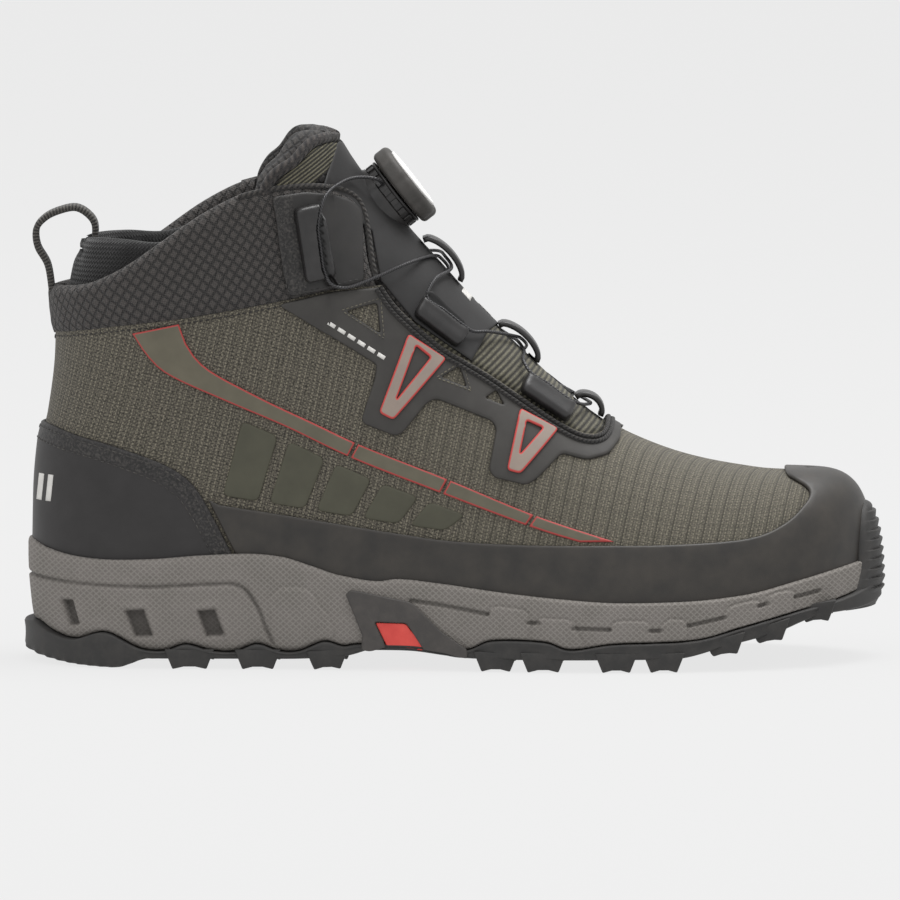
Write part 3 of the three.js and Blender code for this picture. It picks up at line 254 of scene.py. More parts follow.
def locate(points, out=0.0):
    """Column and height share of side-view points (X, Z). A point beyond the form's outline goes to the outline."""
    points = np.array(points, float)
    found = [form_tree.find((x, z, 0))[1] for x, z in points]
    t, w = grid_t.ravel()[found], grid_w.ravel()[found]
    step = 1e-4
    for _ in range(14):
        here = form(t, w, -1, out)
        miss = points - here[:, [0, 2]]
        t0, t1 = np.clip(t - step, 0, 1), np.clip(t + step, 0, 1)
        w0, w1 = np.clip(w - step, 0, 1), np.clip(w + step, 0, 1)
        by_t = (form(t1, w, -1, out) - form(t0, w, -1, out))[:, [0, 2]] / (t1 - t0)[:, None]
        by_w = (form(t, w1, -1, out) - form(t, w0, -1, out))[:, [0, 2]] / (w1 - w0)[:, None]
        a, b, c = (by_t**2).sum(1) + 4, (by_t * by_w).sum(1), (by_w**2).sum(1) + 4
        p, q = (by_t * miss).sum(1), (by_w * miss).sum(1)
        det = a * c - b * b
        t = np.clip(t + np.clip((c * p - b * q) / det, -0.03, 0.03), 0, 1)
        w = np.clip(w + np.clip((a * q - b * p) / det, -0.03, 0.03), 0, 1)
    t[t < 2e-3] = 0
    t[t > 1 - 2e-3] = 1
    w[w < 2e-3] = 0
    w[(w > 1 - 3e-3) & (t >= LEG_END - 0.01)] = 1
    # On the flat top of the toe, whatever is drawn above the ridge goes to the ridge itself.
    fore = np.linspace(LEG_END + 0.01, 1, 500)
    ridge = form(fore, np.ones(500), -1, out)
    ridge_z = np.interp(points[:, 0], ridge[:, 0], ridge[:, 2])
    above = (points[:, 0] > ridge[0, 0]) & (points[:, 0] < ridge[-1, 0]) & (points[:, 1] > ridge_z - 0.02)
    t[above], w[above] = np.interp(points[above, 0], ridge[:, 0], fore), 1
    return t, w


def on_upper(points, side, out):
    """Side-view points put on the upper, a distance out, in the form's millimetres."""
    t, w = locate(points, out)
    return form(t, w, side, out)


def to_frame(points):
    p = np.array(points, float).reshape(-1, 3)
    p[:, 1] += FORM_SIDEWAYS
    return p * MM


# ---------------------------------------------------------------- sheets laid on the form
def closed_steps(points, step):
    """A closed outline with points added until none are further apart than a step."""
    p = np.array(points, float)
    lengths = np.linalg.norm(np.roll(p, -1, 0) - p, axis=1)
    made = []
    for a, b, length in zip(p, np.roll(p, -1, 0), lengths):
        n = max(1, math.ceil(length / step))
        made += [mix(a, b, i / n) for i in range(n)]
    return np.array(made)


def inside(points, polygon):
    x, y = points[:, 0], points[:, 1]
    found = np.zeros(len(points), bool)
    for (ax, ay), (bx, by) in zip(polygon, np.roll(polygon, -1, 0)):
        if ay == by:
            continue
        hit = ((ay > y) != (by > y)) & (x < (bx - ax) * (y - ay) / (by - ay) + ax)
        found ^= hit
    return found


def tree_of(points):
    tree = kdtree.KDTree(len(points))
    for i, p in enumerate(points):
        tree.insert((p[0], p[1], p[2] if len(p) > 2 else 0), i)
    tree.balance()
    return tree


def distances(tree, points):
    return np.array([tree.find((p[0], p[1], p[2] if len(p) > 2 else 0))[2] for p in points])


def outline_on_form(points, out, step):
    """A closed side-view outline as columns and height shares, following the form's own outline where it runs beyond
    it."""
    t, w = locate(closed_steps(points, step), out)
    ends = [(t == 0), (t == 1), (w == 0), (w == 1)]
    made = []
    for i in range(len(t)):
        j = (i + 1) % len(t)
        made.append((t[i], w[i]))
        if np.hypot(*(flatten(t[[i]], w[[i]]) - flatten(t[[j]], w[[j]]))[0]) < 1.7 * step:
            continue
        here, there = [{k for k in range(4) if ends[k][n]} for n in (i, j)]
        stops = [(t[i], w[i]), (t[j], w[j])]
        if here and there and not here & there:
            corner = [t[i], w[i]]
            for k in here | there:
                corner[k // 2] = k % 2
            stops.insert(1, tuple(corner))
        for a, b in zip(stops, stops[1:]):
            gap = np.hypot(
                *(flatten(np.array([a[0]]), np.array([a[1]])) - flatten(np.array([b[0]]), np.array([b[1]])))[0]
            )
            n = max(1, math.ceil(gap / step))
            made += [(mix(a[0], b[0], k / n), mix(a[1], b[1], k / n)) for k in range(n)][0 if a != stops[0] else 1 :]
    t, w = np.array(made).T
    flat = flatten(t, w)
    keep = np.linalg.norm(flat - np.roll(flat, 1, 0), axis=1) > 0.12
    return t[keep], w[keep]


class Pattern:
    """One flat pattern piece: its points as column and height share, its triangles, and how far each point is from a
    sewn edge."""

    def __init__(self, points, out=0.0, spacing=2.4, rings=(0.4, 1.1), holes=(), step=1.3, seams=True):
        loops = [outline_on_form(loop, out, step) for loop in [points, *holes]]
        flats = [flatten(*loop) for loop in loops]
        seam_of = [self.seam(*loop) if seams else np.zeros(len(loop[0]), bool) for loop in loops]
        border = np.concatenate(flats)
        border_t = np.concatenate([loop[0] for loop in loops])
        border_w = np.concatenate([loop[1] for loop in loops])
        edges, start = [], 0
        for flat in flats:
            n = len(flat)
            edges += [(start + i, start + (i + 1) % n) for i in range(n)]
            start += n
        tree = tree_of(border)
        extra = []
        for flat, is_seam in zip(flats, seam_of):
            ahead, behind = np.roll(flat, -1, 0), np.roll(flat, 1, 0)
            normal = (ahead - behind)[:, ::-1] * [-1, 1]
            normal /= np.maximum(np.linalg.norm(normal, axis=1), 1e-9)[:, None]
            for depth in rings:
                for direction in (1, -1):
                    tried = (flat + normal * depth * direction)[~is_seam]
                    if len(tried):
                        extra.append(tried[distances(tree, tried) > depth * 0.93])
        low, high = flats[0].min(0), flats[0].max(0)
        rows = np.arange(low[1], high[1], spacing * 0.87)
        lines = np.arange(low[0], high[0], spacing)
        fill = np.array([(x + (r % 2) * spacing / 2, y) for r, y in enumerate(rows) for x in lines] or np.zeros((0, 2)))
        if len(fill):
            reach = (max(rings) if rings else 0) + 0.45 * spacing
            fill = fill[inside(fill, flats[0])]
            fill = fill[distances(tree, fill) > reach] if len(fill) else fill
        inner = np.concatenate([*extra, fill]) if extra or len(fill) else np.zeros((0, 2))
        if len(inner):
            good = inside(inner, flats[0])
            for hole in flats[1:]:
                good &= ~inside(inner, hole)
            inner = inner[good]
        every = np.concatenate([border, inner])
        verts, _, faces, origin, _, _ = delaunay_2d_cdt([Vector(p) for p in every], edges, [], 0, 1e-4)
        flat = np.array([tuple(v) for v in verts])
        faces = np.array([f for f in faces if len(f) == 3])
        middle = flat[faces].mean(1)
        good = inside(middle, flats[0])
        for hole in flats[1:]:
            good &= ~inside(middle, hole)
        faces = faces[good]
        t, w = unflatten(flat)
        for i, ids in enumerate(origin):
            known = [k for k in ids if k < len(border)]
            if known:
                t[i], w[i] = border_t[known[0]], border_w[known[0]]
        used = np.unique(faces)
        renumber = np.full(len(flat), -1)
        renumber[used] = np.arange(len(used))
        self.t, self.w, self.flat, self.faces = t[used], w[used], flat[used], renumber[faces]
        sides = self.flat[self.faces]
        turn = np.cross(sides[:, 1] - sides[:, 0], sides[:, 2] - sides[:, 0])
        self.faces[turn < 0] = self.faces[turn < 0][:, ::-1]
        self.is_seam = self.seam(self.t, self.w) if seams else np.zeros(len(self.t), bool)
        self.fabric = self.flat.copy()
        front = self.t > LEG_END
        at = form(self.t, self.w, -1)
        self.fabric[front, 0] = np.interp(LEG_END, T_STEPS, along_length) + at[front, 0] - LEG_FRONT
        # Distance from the sewn edge, over the surface.
        sewn = np.concatenate(
            [form(*loop, -1)[~s] for loop, s in zip(loops, seam_of) if (~s).any()] or [np.full((1, 3), 1e4)]
        )
        finer = [
            mix(a, b, k / 3)
            for a, b in zip(sewn, np.roll(sewn, -1, 0))
            if np.linalg.norm(a - b) < 2.5 * step
            for k in range(3)
        ]
        tree = tree_of(np.array(finer) if len(finer) else sewn)
        self.edge = distances(tree, at)
        count = {}
        for a, b, c in self.faces:
            for pair in ((a, b), (b, c), (c, a)):
                count[pair] = count.get(pair, 0) + 1
        self.rim = [(a, b) for a, b in count if (b, a) not in count]

    @staticmethod
    def seam(t, w):
        return (t == 0) | (t == 1) | ((w == 1) & (t >= LEG_END - 1e-6))

    def rim_is_seam(self, a, b):
        if not (self.is_seam[a] and self.is_seam[b]):
            return False
        t, w = self.t, self.w
        return any(side[a] and side[b] for side in (t == 0, t == 1, (w == 1) & (t >= LEG_END - 1e-6)))


def new_object(name, vertices, faces, uv=None, edge=None):
    mesh = bpy.data.meshes.new(name)
    mesh.from_pydata([tuple(v) for v in vertices], [], [tuple(int(i) for i in f) for f in faces])
    piece = bpy.data.objects.new(name, mesh)
    bpy.context.scene.collection.objects.link(piece)
    if uv is not None:
        layer = mesh.uv_layers.new(name="weave")
        index = np.zeros(len(mesh.loops), int)
        mesh.loops.foreach_get("vertex_index", index)
        layer.data.foreach_set("uv", np.asarray(uv, float)[index].astype(np.float32).ravel())
    if edge is not None:
        attribute = mesh.attributes.new("edge", "FLOAT", "POINT")
        attribute.data.foreach_set("value", np.asarray(edge, np.float32))
    mesh.polygons.foreach_set("use_smooth", [True] * len(mesh.polygons))
    return piece


def select_only(*objects):
    bpy.ops.object.select_all(action="DESELECT")
    for o in objects:
        o.select_set(True)
    bpy.context.view_layer.objects.active = objects[0]


def face_outwards(piece, merge=None):
    """Points a closed piece's faces outwards, after its doubles are merged."""
    select_only(piece)
    bpy.ops.object.mode_set(mode="EDIT")
    bpy.ops.mesh.select_all(action="SELECT")
    if merge:
        bpy.ops.mesh.remove_doubles(threshold=merge)
    bpy.ops.mesh.normals_make_consistent(inside=False)
    bpy.ops.object.mode_set(mode="OBJECT")
    return piece


def shade(piece, angle):
    """Smooth shading, with edges sharper than an angle kept sharp."""
    select_only(piece)
    bpy.ops.object.shade_smooth_by_angle(angle=math.radians(angle))
    return piece


def joined(name, blocks):
    """Copies joined to one piece."""
    select_only(*blocks)
    bpy.ops.object.join()
    bpy.context.object.name = name
    return bpy.context.object


def merge_doubles(piece, distance=2e-5):
    b = bmesh.new()
    b.from_mesh(piece.data)
    bmesh.ops.remove_doubles(b, verts=b.verts, dist=distance)
    b.to_mesh(piece.data)
    b.free()


def sheet_of(name, pattern, top, bottom, sides=(-1, 1), lift=0.0):
    """A closed sheet: the pattern laid on the form between two distances, each a number or made from the pattern."""
    verts, faces, uv, edge = [], [], [], []
    high = top(pattern) if callable(top) else np.full(len(pattern.t), float(top))
    low = bottom(pattern) if callable(bottom) else np.full(len(pattern.t), float(bottom))
    for side in sides:
        start = sum(len(v) for v in verts)
        n = len(pattern.t)
        verts += [form(pattern.t, pattern.w, side, high, lift), form(pattern.t, pattern.w, side, low, lift)]
        uv += [pattern.fabric, pattern.fabric]
        edge += [getattr(pattern, "sunk", pattern.edge)] * 2
        outer = pattern.faces if side < 0 else pattern.faces[:, ::-1]
        faces += [tuple(f + start) for f in outer] + [tuple(f[::-1] + start + n) for f in outer]
        for a, b in pattern.rim:
            if pattern.rim_is_seam(a, b) and len(sides) == 2:
                continue
            quad = (b + start, a + start, a + start + n, b + start + n)
            faces.append(quad if side < 0 else quad[::-1])
    piece = new_object(name, to_frame(np.concatenate(verts)), faces, np.concatenate(uv) * MM, np.concatenate(edge) * MM)
    merge_doubles(piece)
    return piece


def film(low, high, bevel=0.5):
    """Heights of a moulded film with a rounded rim."""

    def top(p):
        return high - bevel * (1 - round_over(p.edge, 0.9))

    return top, low


def pad(low, high, rim=4.0, crown=0.0, reach=14.0):
    """Heights of a stuffed pad: both faces meet at its edge, round over within the rim, and swell to a crown."""
    middle, half = (low + high) / 2, (high - low) / 2

    def swell(p):
        near = round_over(p.edge, rim)
        # The seam gathers the cover, so soft folds run in from it and fade away.
        along_seam = p.fabric[:, 0] + 0.4 * p.fabric[:, 1]
        folds = np.sin(along_seam / 2.1 + 1.4 * np.sin(along_seam / 7.7)) * np.exp(-((p.edge - 3.5) ** 2) / 10)
        return half * near + 0.24 * near * folds + crown * (1 - (1 - np.clip(p.edge / reach, 0, 1)) ** 2)

    return (lambda p: middle + swell(p)), (lambda p: middle - swell(p))


PAD_RINGS = (0.25, 0.8, 1.7, 3.0, 4.4)

# ---------------------------------------------------------------- outlines in side view, X-Z
COLLAR_LOWER = through(
    [[-160, 113.1], [-125, 119.1], [-97, 122.8], [-76, 126.3], [-58, 129.8], [-44, 132.8], [-26, 134.7]]
)
COLLAR_TOP = through(
    [
        [-26.5, 135.1], [-29.3, 143.9], [-30.7, 155.1], [-33.5, 164.2], [-42, 168.9], [-54, 170.4], [-65, 169.4],
        [-76, 166.9],
    ]
    + [[-90, 160], [-104, 150.8], [-115, 143.4], [-125, 138], [-136, 134.3], [-160, 132.2]]
)
THROAT = through(
    [
        [-26, 134.7], [-19.4, 125.8], [-5.3, 113.5], [3.5, 108.1], [12.4, 102.7], [23, 95.5], [37.1, 86.1], [46, 81.9],
        [52.5, 82.5], [55, 89.6],
    ]
)
BELOW_COLLAR = [[-170, 0], *moved(COLLAR_LOWER, 0, -0.3), *THROAT[1:], [57.5, 100], [60, 110], [170, 110], [170, 0]]
COLLAR = [*COLLAR_LOWER, *COLLAR_TOP]
COUNTER_TOP = through(
    [
        [-160, 85.1], [-146.5, 84.6], [-133.8, 81.3], [-120, 77.9], [-103.3, 72.1], [-94, 66.2], [-87.5, 57.3],
        [-77, 36.8],
    ]
)
HEEL_COUNTER = [[-170, 10], *COUNTER_TOP, [-77, 10]]
RAND_TOP = through(
    [
        [-86.6, 58.2], [-65.4, 55], [-44, 51.6], [-19.4, 47.9], [-1.8, 45.6], [23, 44.5], [51.2, 44.4], [79.5, 44.7],
        [104, 46.3],
    ]
    + [[116.5, 50.9], [124, 57.4], [125.8, 61], [124.2, 63.4], [120.6, 65.4], [117.6, 67.4], [116.8, 72], [116.6, 85.6]]
)
RAND = [[-76.7, 10], [-76.7, 38.6], [-87.1, 59.6], *RAND_TOP[1:], [170, 90], [170, 10]]
FACING = [
    [-62, 128.3],
    *[p for p in moved(COLLAR_LOWER, 0, -0.3) if p[0] > -60],
    *THROAT[1:],
    *[
        [55, 95.6], [60, 95.6], [59, 80.6], [54.5, 75.6], [46.9, 74], [37.8, 76.4], [28.6, 67.5], [25.1, 65.6],
        [13.8, 68.1], [12, 70.8],
    ],
    *[
        [14.8, 85.3], [13.1, 87.9], [-6.5, 95.7], [-9.9, 94.1], [-18.7, 83.3], [-21.4, 82.6], [-32.2, 86.7],
        [-32.9, 88.6], [-28.1, 102.7],
    ],
    *[[-27.5, 107.5], [-29.5, 108.8], [-45.7, 118.3]],
]
PANEL = [
    [-64.4, 166.6], [-63, 159.9], [-61.8, 149.7], [-60.4, 139.7], [-58.3, 131.4], [-32, 136], [-32.3, 160.8],
    [-36, 164.4], [-42.8, 166.9], [-52.3, 168.2],
]
STRIPE_UPPER = through(
    [
        [-96.9, 120.3], [-94.8, 114.7], [-87.7, 106.1], [-69.5, 96], [-49.2, 86.4], [-34, 79.3], [-1.8, 66.8],
        [28.6, 54.6], [56, 45.7],
    ]
)
STRIPE_LOWER = through(
    [
        [43.9, 45.6], [25.6, 51.2], [-5.8, 62.7], [-37, 74.7], [-59.4, 85.3], [-79.7, 93.9], [-100, 103],
        [-108, 109.5], [-113.9, 118.1],
    ]
)
UPPER_LOOP = (
    [[-16.3, 118.2], [-2.8, 109.5], [-21.7, 88.1], [-26.8, 90.7]], [[-13.6, 114], [-8.5, 109.9], [-20.7, 95.1]]
)
LOWER_LOOP = ([[23.1, 92], [36.8, 84.7], [23.1, 69.5], [18.3, 70.8]], [[25.4, 87.7], [31.2, 85.1], [22.9, 76.1]])
LINER_TOP = through([[-74, 161.1], [-90, 154.1], [-104, 150.1], [-118, 150.8], [-131, 150.2], [-137, 145.6]])
LINER = [[-170, 92], [-74, 112], *LINER_TOP, [-170, 150]]
TONGUE_TOP = through(
    [
        [-69, 161.6], [-67.6, 170.6], [-63.6, 176.9], [-58.3, 181], [-53.7, 186.2], [-49.5, 188.6], [-44.2, 188.2],
        [-40, 184.5], [-36, 179.6], [-30, 171.6],
    ]
)
TONGUE = [[-62, 122], *TONGUE_TOP, [-20, 200], [60, 110], [60, 74], [44, 72], [0, 92], [-30, 112]]
SHIELD = [
    [-47, 167.1], [-41.5, 183.6], [-20, 195.6], [38, 128.6], [12, 118], [6, 108.2], [-14, 122.1], [-26, 136.6],
    [-29, 153.6],
]


def rounded(points, radius, steps=5):
    """A closed outline with its corners rounded."""
    p = np.array(points, float)
    made = []
    for before, here, after in zip(np.roll(p, 1, 0), p, np.roll(p, -1, 0)):
        a, b = before - here, after - here
        la, lb = np.linalg.norm(a), np.linalg.norm(b)
        reach = min(radius, la * 0.45, lb * 0.45)
        start, end = here + a / la * reach, here + b / lb * reach
        for k in range(steps + 1):
            s = k / steps
            made.append(list(start * (1 - s) ** 2 + here * 2 * s * (1 - s) + end * s**2))
    return made


pieces = {}


def keep(piece, slot, *nodes, body="root", soft=None):
    """A finished piece: what it rides on, which CAD solids it stands for, and its finish."""
    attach(piece, body)
    if nodes:
        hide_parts(*nodes)
    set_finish(piece, slot)
    pieces[piece.name] = piece
    return piece


def keep_pair(name, pattern, heights, slot, node=None):
    """A sheet on each side of the boot, each a piece of its own."""
    for label, side in SIDES.items():
        piece = sheet_of(f"{name}_{label}", pattern, *heights, sides=(side,))
        keep(piece, slot, *([f"{node}_{label}"] if node else []))


# ---------------------------------------------------------------- upper
below_collar = Pattern(BELOW_COLLAR, spacing=2.6)
upper = sheet_of("upper_textile", below_collar, 0.0, -2.0, lift=2.1)
keep(upper, "textile", "quarter_lateral", "quarter_medial", "vamp")
keep(sheet_of("lining_sheet", below_collar, -3.7, -5.2, lift=2.1), "lining_fabric", "lining")
keep(sheet_of("heel_counter_film", Pattern(HEEL_COUNTER, 1.5), *film(0.3, 1.5)), "counter_film", "heel_counter")
keep(sheet_of("rand_film", Pattern(RAND, 1.5), *film(0.3, 1.5)), "rand_film", "rand")
facing_pattern = Pattern(
    rounded(FACING, 1.6, 3),
    1.5,
    holes=[
        rounded([[-38.3, 126], [-27.2, 129.2], [-26.2, 118.2]], 1.5),
        rounded([[-4.8, 102.9], [1.9, 106.9], [4.3, 99.4]], 1.2),
        rounded([[10.7, 95.6], [14.9, 98.4], [17.6, 93]], 1.0),
    ],
)
keep_pair("facing_film", facing_pattern, film(0.3, 1.5), "facing_film", "facing")


def height_on(line, x):
    """A drawn line's height at an X value."""
    xs, heights = np.array(sorted(line), float).T
    return np.interp(x, xs, heights)


def between(line, start, end):
    """The part of a drawn line between two X values."""
    return [[x, float(height_on(line, x))] for x in np.linspace(start, end, max(3, int(abs(end - start) / 2.5)))]


# The side stripe is cut across in three places, and the cuts slant. These are its parts' ends on its upper and lower
# line.
STRIPE_BREAKS, STRIPE_GAP, STRIPE_LEAN = [-36, -3.5, 26.8], 0.6, 1.3
starts = [x + STRIPE_GAP for x in STRIPE_BREAKS]
ends = [x - STRIPE_GAP for x in STRIPE_BREAKS]
upper_ends = zip([-94.8, *[x + STRIPE_LEAN for x in starts]], [*[x + STRIPE_LEAN for x in ends], 56])
lower_ends = zip([*[x - STRIPE_LEAN for x in ends], 43.9], [-113, *[x - STRIPE_LEAN for x in starts]])
STRIPE_REAR_CORNER = [-97.4, 121.6]
for number, (upper_end, lower_end) in enumerate(zip(upper_ends, lower_ends)):
    outline = [*between(STRIPE_UPPER, *upper_end), *between(STRIPE_LOWER, *lower_end)]
    if number == 0:
        outline = [STRIPE_REAR_CORNER, *outline, STRIPE_LOWER[-1]]
    pattern = Pattern(outline, 1.1, rings=(0.4, 0.9, 1.4))
    node = None if number else "side_stripe"
    keep_pair(f"side_stripe_film_{number}", pattern, film(0.3, 1.1, 0.3), "stripe_film", node)
# Plain slanted bars fill the side below the stripe.
BAR_WIDTH, BAR_PITCH, BAR_LEAN = 12.5, 16.5, 7
BAR_REAR, BAR_FOOT, BAR_HEAD = -82, 3.4, -4.6
for number in range(5):
    start = BAR_REAR + number * BAR_PITCH
    head_x = [start + BAR_WIDTH + BAR_LEAN, start + BAR_LEAN]
    foot = [[x, height_on(RAND_TOP, x) + BAR_FOOT] for x in (start, start + BAR_WIDTH)]
    head = [[x, height_on(STRIPE_LOWER, x) + BAR_HEAD] for x in head_x]
    pattern = Pattern(rounded([*foot, *head], 2.4), 0.6)
    keep_pair(f"side_bar_film_{number}", pattern, film(0.15, 0.65, 0.25), "stripe_film")
for level, (outer, hole) in {"upper": UPPER_LOOP, "lower": LOWER_LOOP}.items():
    pattern = Pattern(rounded(outer, 1.5, 4), 2.6, rings=(0.4, 0.9, 1.4), holes=[rounded(hole, 0.9, 4)])
    keep_pair(f"loop_film_{level}", pattern, film(1.8, 2.6, 0.3), "loop_film", f"facing_loop_{level}")
keep_pair("cuff_panel", Pattern(rounded(PANEL, 2), 3.1), film(2.1, 3.1, 0.4), "panel_film", "ankle_panel")


# ---------------------------------------------------------------- pads
def stuffed(piece, reach):
    """Blows a sewn cover up over its foam as cloth, with its seams held. No point moves further than the reach, in
    millimetres."""
    count = len(piece.data.vertices)
    rest, edge = np.zeros(3 * count), np.zeros(count)
    piece.data.vertices.foreach_get("co", rest)
    piece.data.attributes["edge"].data.foreach_get("value", edge)
    held = piece.vertex_groups.new(name="seam")
    for near, far, hold in ((-1, 1.3, 1.0), (1.3, 3.5, 0.3)):
        band = (edge >= near * MM) & (edge < far * MM)
        held.add([int(i) for i in np.flatnonzero(band)], hold, "REPLACE")
    cloth = piece.modifiers.new("cloth", "CLOTH")
    cloth.settings.quality, cloth.settings.mass = 5, 0.3
    cloth.settings.use_pressure, cloth.settings.uniform_pressure_force = True, 4
    cloth.settings.vertex_group_mass = "seam"
    cloth.settings.effector_weights.gravity = 0
    cloth.collision_settings.use_collision = False
    cloth.point_cache.frame_end = 20
    for frame_number in range(1, 21):
        bpy.context.scene.frame_set(frame_number)
    blown = np.zeros(3 * count)
    piece.evaluated_get(bpy.context.evaluated_depsgraph_get()).data.vertices.foreach_get("co", blown)
    piece.modifiers.remove(cloth)
    piece.vertex_groups.clear()
    bpy.context.scene.frame_set(1)
    move = (blown - rest).reshape(-1, 3)
    size = np.maximum(np.linalg.norm(move, axis=1), 1e-12)
    move *= (reach * MM * np.tanh(size / (reach * MM)) / size)[:, None]
    piece.data.vertices.foreach_set("co", rest + move.ravel())
    piece.data.update()
    return piece


collar_pattern = Pattern(COLLAR, 1.8, rings=PAD_RINGS)
collar_pad = stuffed(sheet_of("collar_pad", collar_pattern, *pad(-5.1, 1.6, 4.0)), 0.6)
keep(collar_pad, "collar_knit", "collar_cover", "collar_foam", soft=0.8)
liner_pattern = Pattern(LINER, -8.0, rings=PAD_RINGS)
heel_pad = stuffed(sheet_of("heel_pad", liner_pattern, *pad(-11.8, -5.9, 4.5)), 0.6)
keep(heel_pad, "liner_fabric", "heel_liner", soft=0.7)
tongue_pattern = Pattern(TONGUE, -0.3, rings=PAD_RINGS)


def tongue_top(p):
    at = form(p.t, p.w, -1)
    wing = inside(at[:, [0, 2]], np.array(BELOW_COLLAR)) | inside(at[:, [0, 2]], np.array(COLLAR))
    return np.where(wing, -5.6, -0.3) - 3.0 * (1 - round_over(p.edge, 4))


def tongue_bottom(p):
    return -9.6 + 3.0 * (1 - round_over(p.edge, 4))


tongue_pad = stuffed(sheet_of("tongue_pad", tongue_pattern, tongue_top, tongue_bottom), 0.5)
keep(tongue_pad, "tongue_fabric", "tongue", soft=0.7)
shield_pattern = Pattern(SHIELD, 0.8)

keep(sheet_of("tongue_shield_film", shield_pattern, *film(0.0, 0.8, 0.3)), "shield_film", "tongue_shield")


# ---------------------------------------------------------------- sole
SOLE_TOP = profile(
    [
        [-151, 44.4], [-143.1, 41], [-132.5, 38.8], [-121.9, 38.1], [-107.8, 38.4], [-90.1, 39.8], [-72.4, 40.5],
        [-61.8, 39.6],
    ]
    + [
        [-51.2, 36.5], [-40.6, 33.1], [-26.5, 31.1], [-20.5, 31.9], [-5.3, 30.5], [15.9, 27.7], [37.1, 25.5],
        [58.3, 24.2],
    ]
    + [[79.5, 24.5], [100.7, 26.3], [121.9, 31], [139.6, 35.1], [147, 36.5]]
)
# Where the outsole ends and the midsole begins: it rises over each lug at the edge.
SOLE_LINE = through(
    [
        [-156, 12.2], [-146.7, 14.4], [-139.6, 11.3], [-132, 9.8], [-122, 12.6], [-111.3, 7.2], [-102.5, 6.3],
        [-94.7, 8.6], [-85.9, 6.4],
    ]
    + [
        [-77.7, 6.1], [-69.6, 8.8], [-61.8, 6.4], [-54.8, 6.4], [-45.9, 9.8], [-38.9, 8.3], [-33, 9], [-15, 9],
        [3.5, 7.2], [14, 10.7],
    ]
    + [
        [31.8, 10.5], [41, 7.8], [56.5, 9.9], [83, 11], [99, 15], [118.4, 19.9], [132.5, 23.2], [141.4, 26.3],
        [148, 31.6], [156, 39.6],
    ],
    240,
)
UNDERSIDE = [
    [-156, 9.6], [-150, 5.1], [-142, 2.6], [-130, 0.8], [-119, 0.3], [-108, 3.6], [-60, 3.7], [-39, 4.8], [-23.7, 8.4],
    [-10.2, 7.3],
]
UNDERSIDE += [
    [2.5, 4.8], [20, 4.3], [76, 4.8], [95, 9.2], [111, 13], [128, 18.6], [138, 19.3], [144, 20.5], [149.5, 23.8],
    [152.4, 29.6], [156, 35.6],
]
sole_line = profile(SOLE_LINE)
underside = profile(UNDERSIDE)
SOLE_EDGE = 6.8
ARCH_BRIDGE = [
    [-33.2, 7.2], [-32.6, 12], [-38.5, 26.7], [-37.2, 28.2], [-33.9, 27.9], [-15.5, 24.2], [-11.7, 20.7], [-5.3, 14.3],
    [4.4, 7.6], [4.4, 4.6],
]
ARCH_BRIDGE += [[2.5, 4.8], [-4, 6.4], [-10.2, 7.3], [-17, 8.1], [-23.7, 8.4], [-30, 6.6]]
ARCH_WINDOW = [[-28.4, 17.2], [-17.2, 16.9], [-9.6, 5.2], [-22.9, 5.2]]


def sole_ring(t, side, side_out, heel_out, toe_out, z):
    """Points round the sole: out from the upper by one distance at the sides and others at the heel and toe."""
    x = column_x(t)
    ends = np.where(x < 0, heel_out, toe_out)
    px, py = plan_outline(t, side, mix(ends, side_out, end_round(x) ** 1.5))
    return np.stack([px, py, z + 0 * px], -1)


def swept(name, t, rows, closed=True, extra=None):
    """A ring-shaped wall: rows(side) gives one line of points per row, from heel to toe; both sides join at the
    ends."""
    verts, faces = [], []
    for side in (-1, 1):
        lines = rows(side)
        start = sum(len(v) for v in verts)
        n, m = len(t), len(lines)
        verts += lines
        for r in range(m if closed else m - 1):
            low, high = start + r * n, start + ((r + 1) % m) * n
            for i in range(n - 1):
                quad = (low + i, low + i + 1, high + i + 1, high + i)
                faces.append(quad if side < 0 else quad[::-1])
    piece = new_object(name, to_frame(np.concatenate(verts)), faces, edge=extra() * MM if extra else None)
    merge_doubles(piece)
    return piece


def line_distance(x, z, line):
    """Distance of side-view points from a drawn line."""
    p = np.stack([x, z], -1)
    best = np.full(x.shape, 1e9)
    for a, b in zip(np.array(line[:-1], float), np.array(line[1:], float)):
        share = np.clip(((p - a) @ (b - a)) / ((b - a) @ (b - a)), 0, 1)
        best = np.minimum(best, np.linalg.norm(p - a - share[..., None] * (b - a), axis=-1))
    return best


def ridge_along(x, z, line, width, height):
    """A ridge of a height along a drawn line, fading to 0 over its width. A groove's height is negative."""
    return height * (1 - smooth(0.25 * width, width, line_distance(x, z, line)))


def plateau(x, z, outline, edge):
    """1 inside a drawn outline and 0 outside, over a soft edge."""
    best = line_distance(x, z, [*outline, outline[0]])
    within = inside(np.stack([x, z], -1).reshape(-1, 2), np.array(outline, float)).reshape(x.shape)
    return smooth(-edge, edge, np.where(within, best, -best))


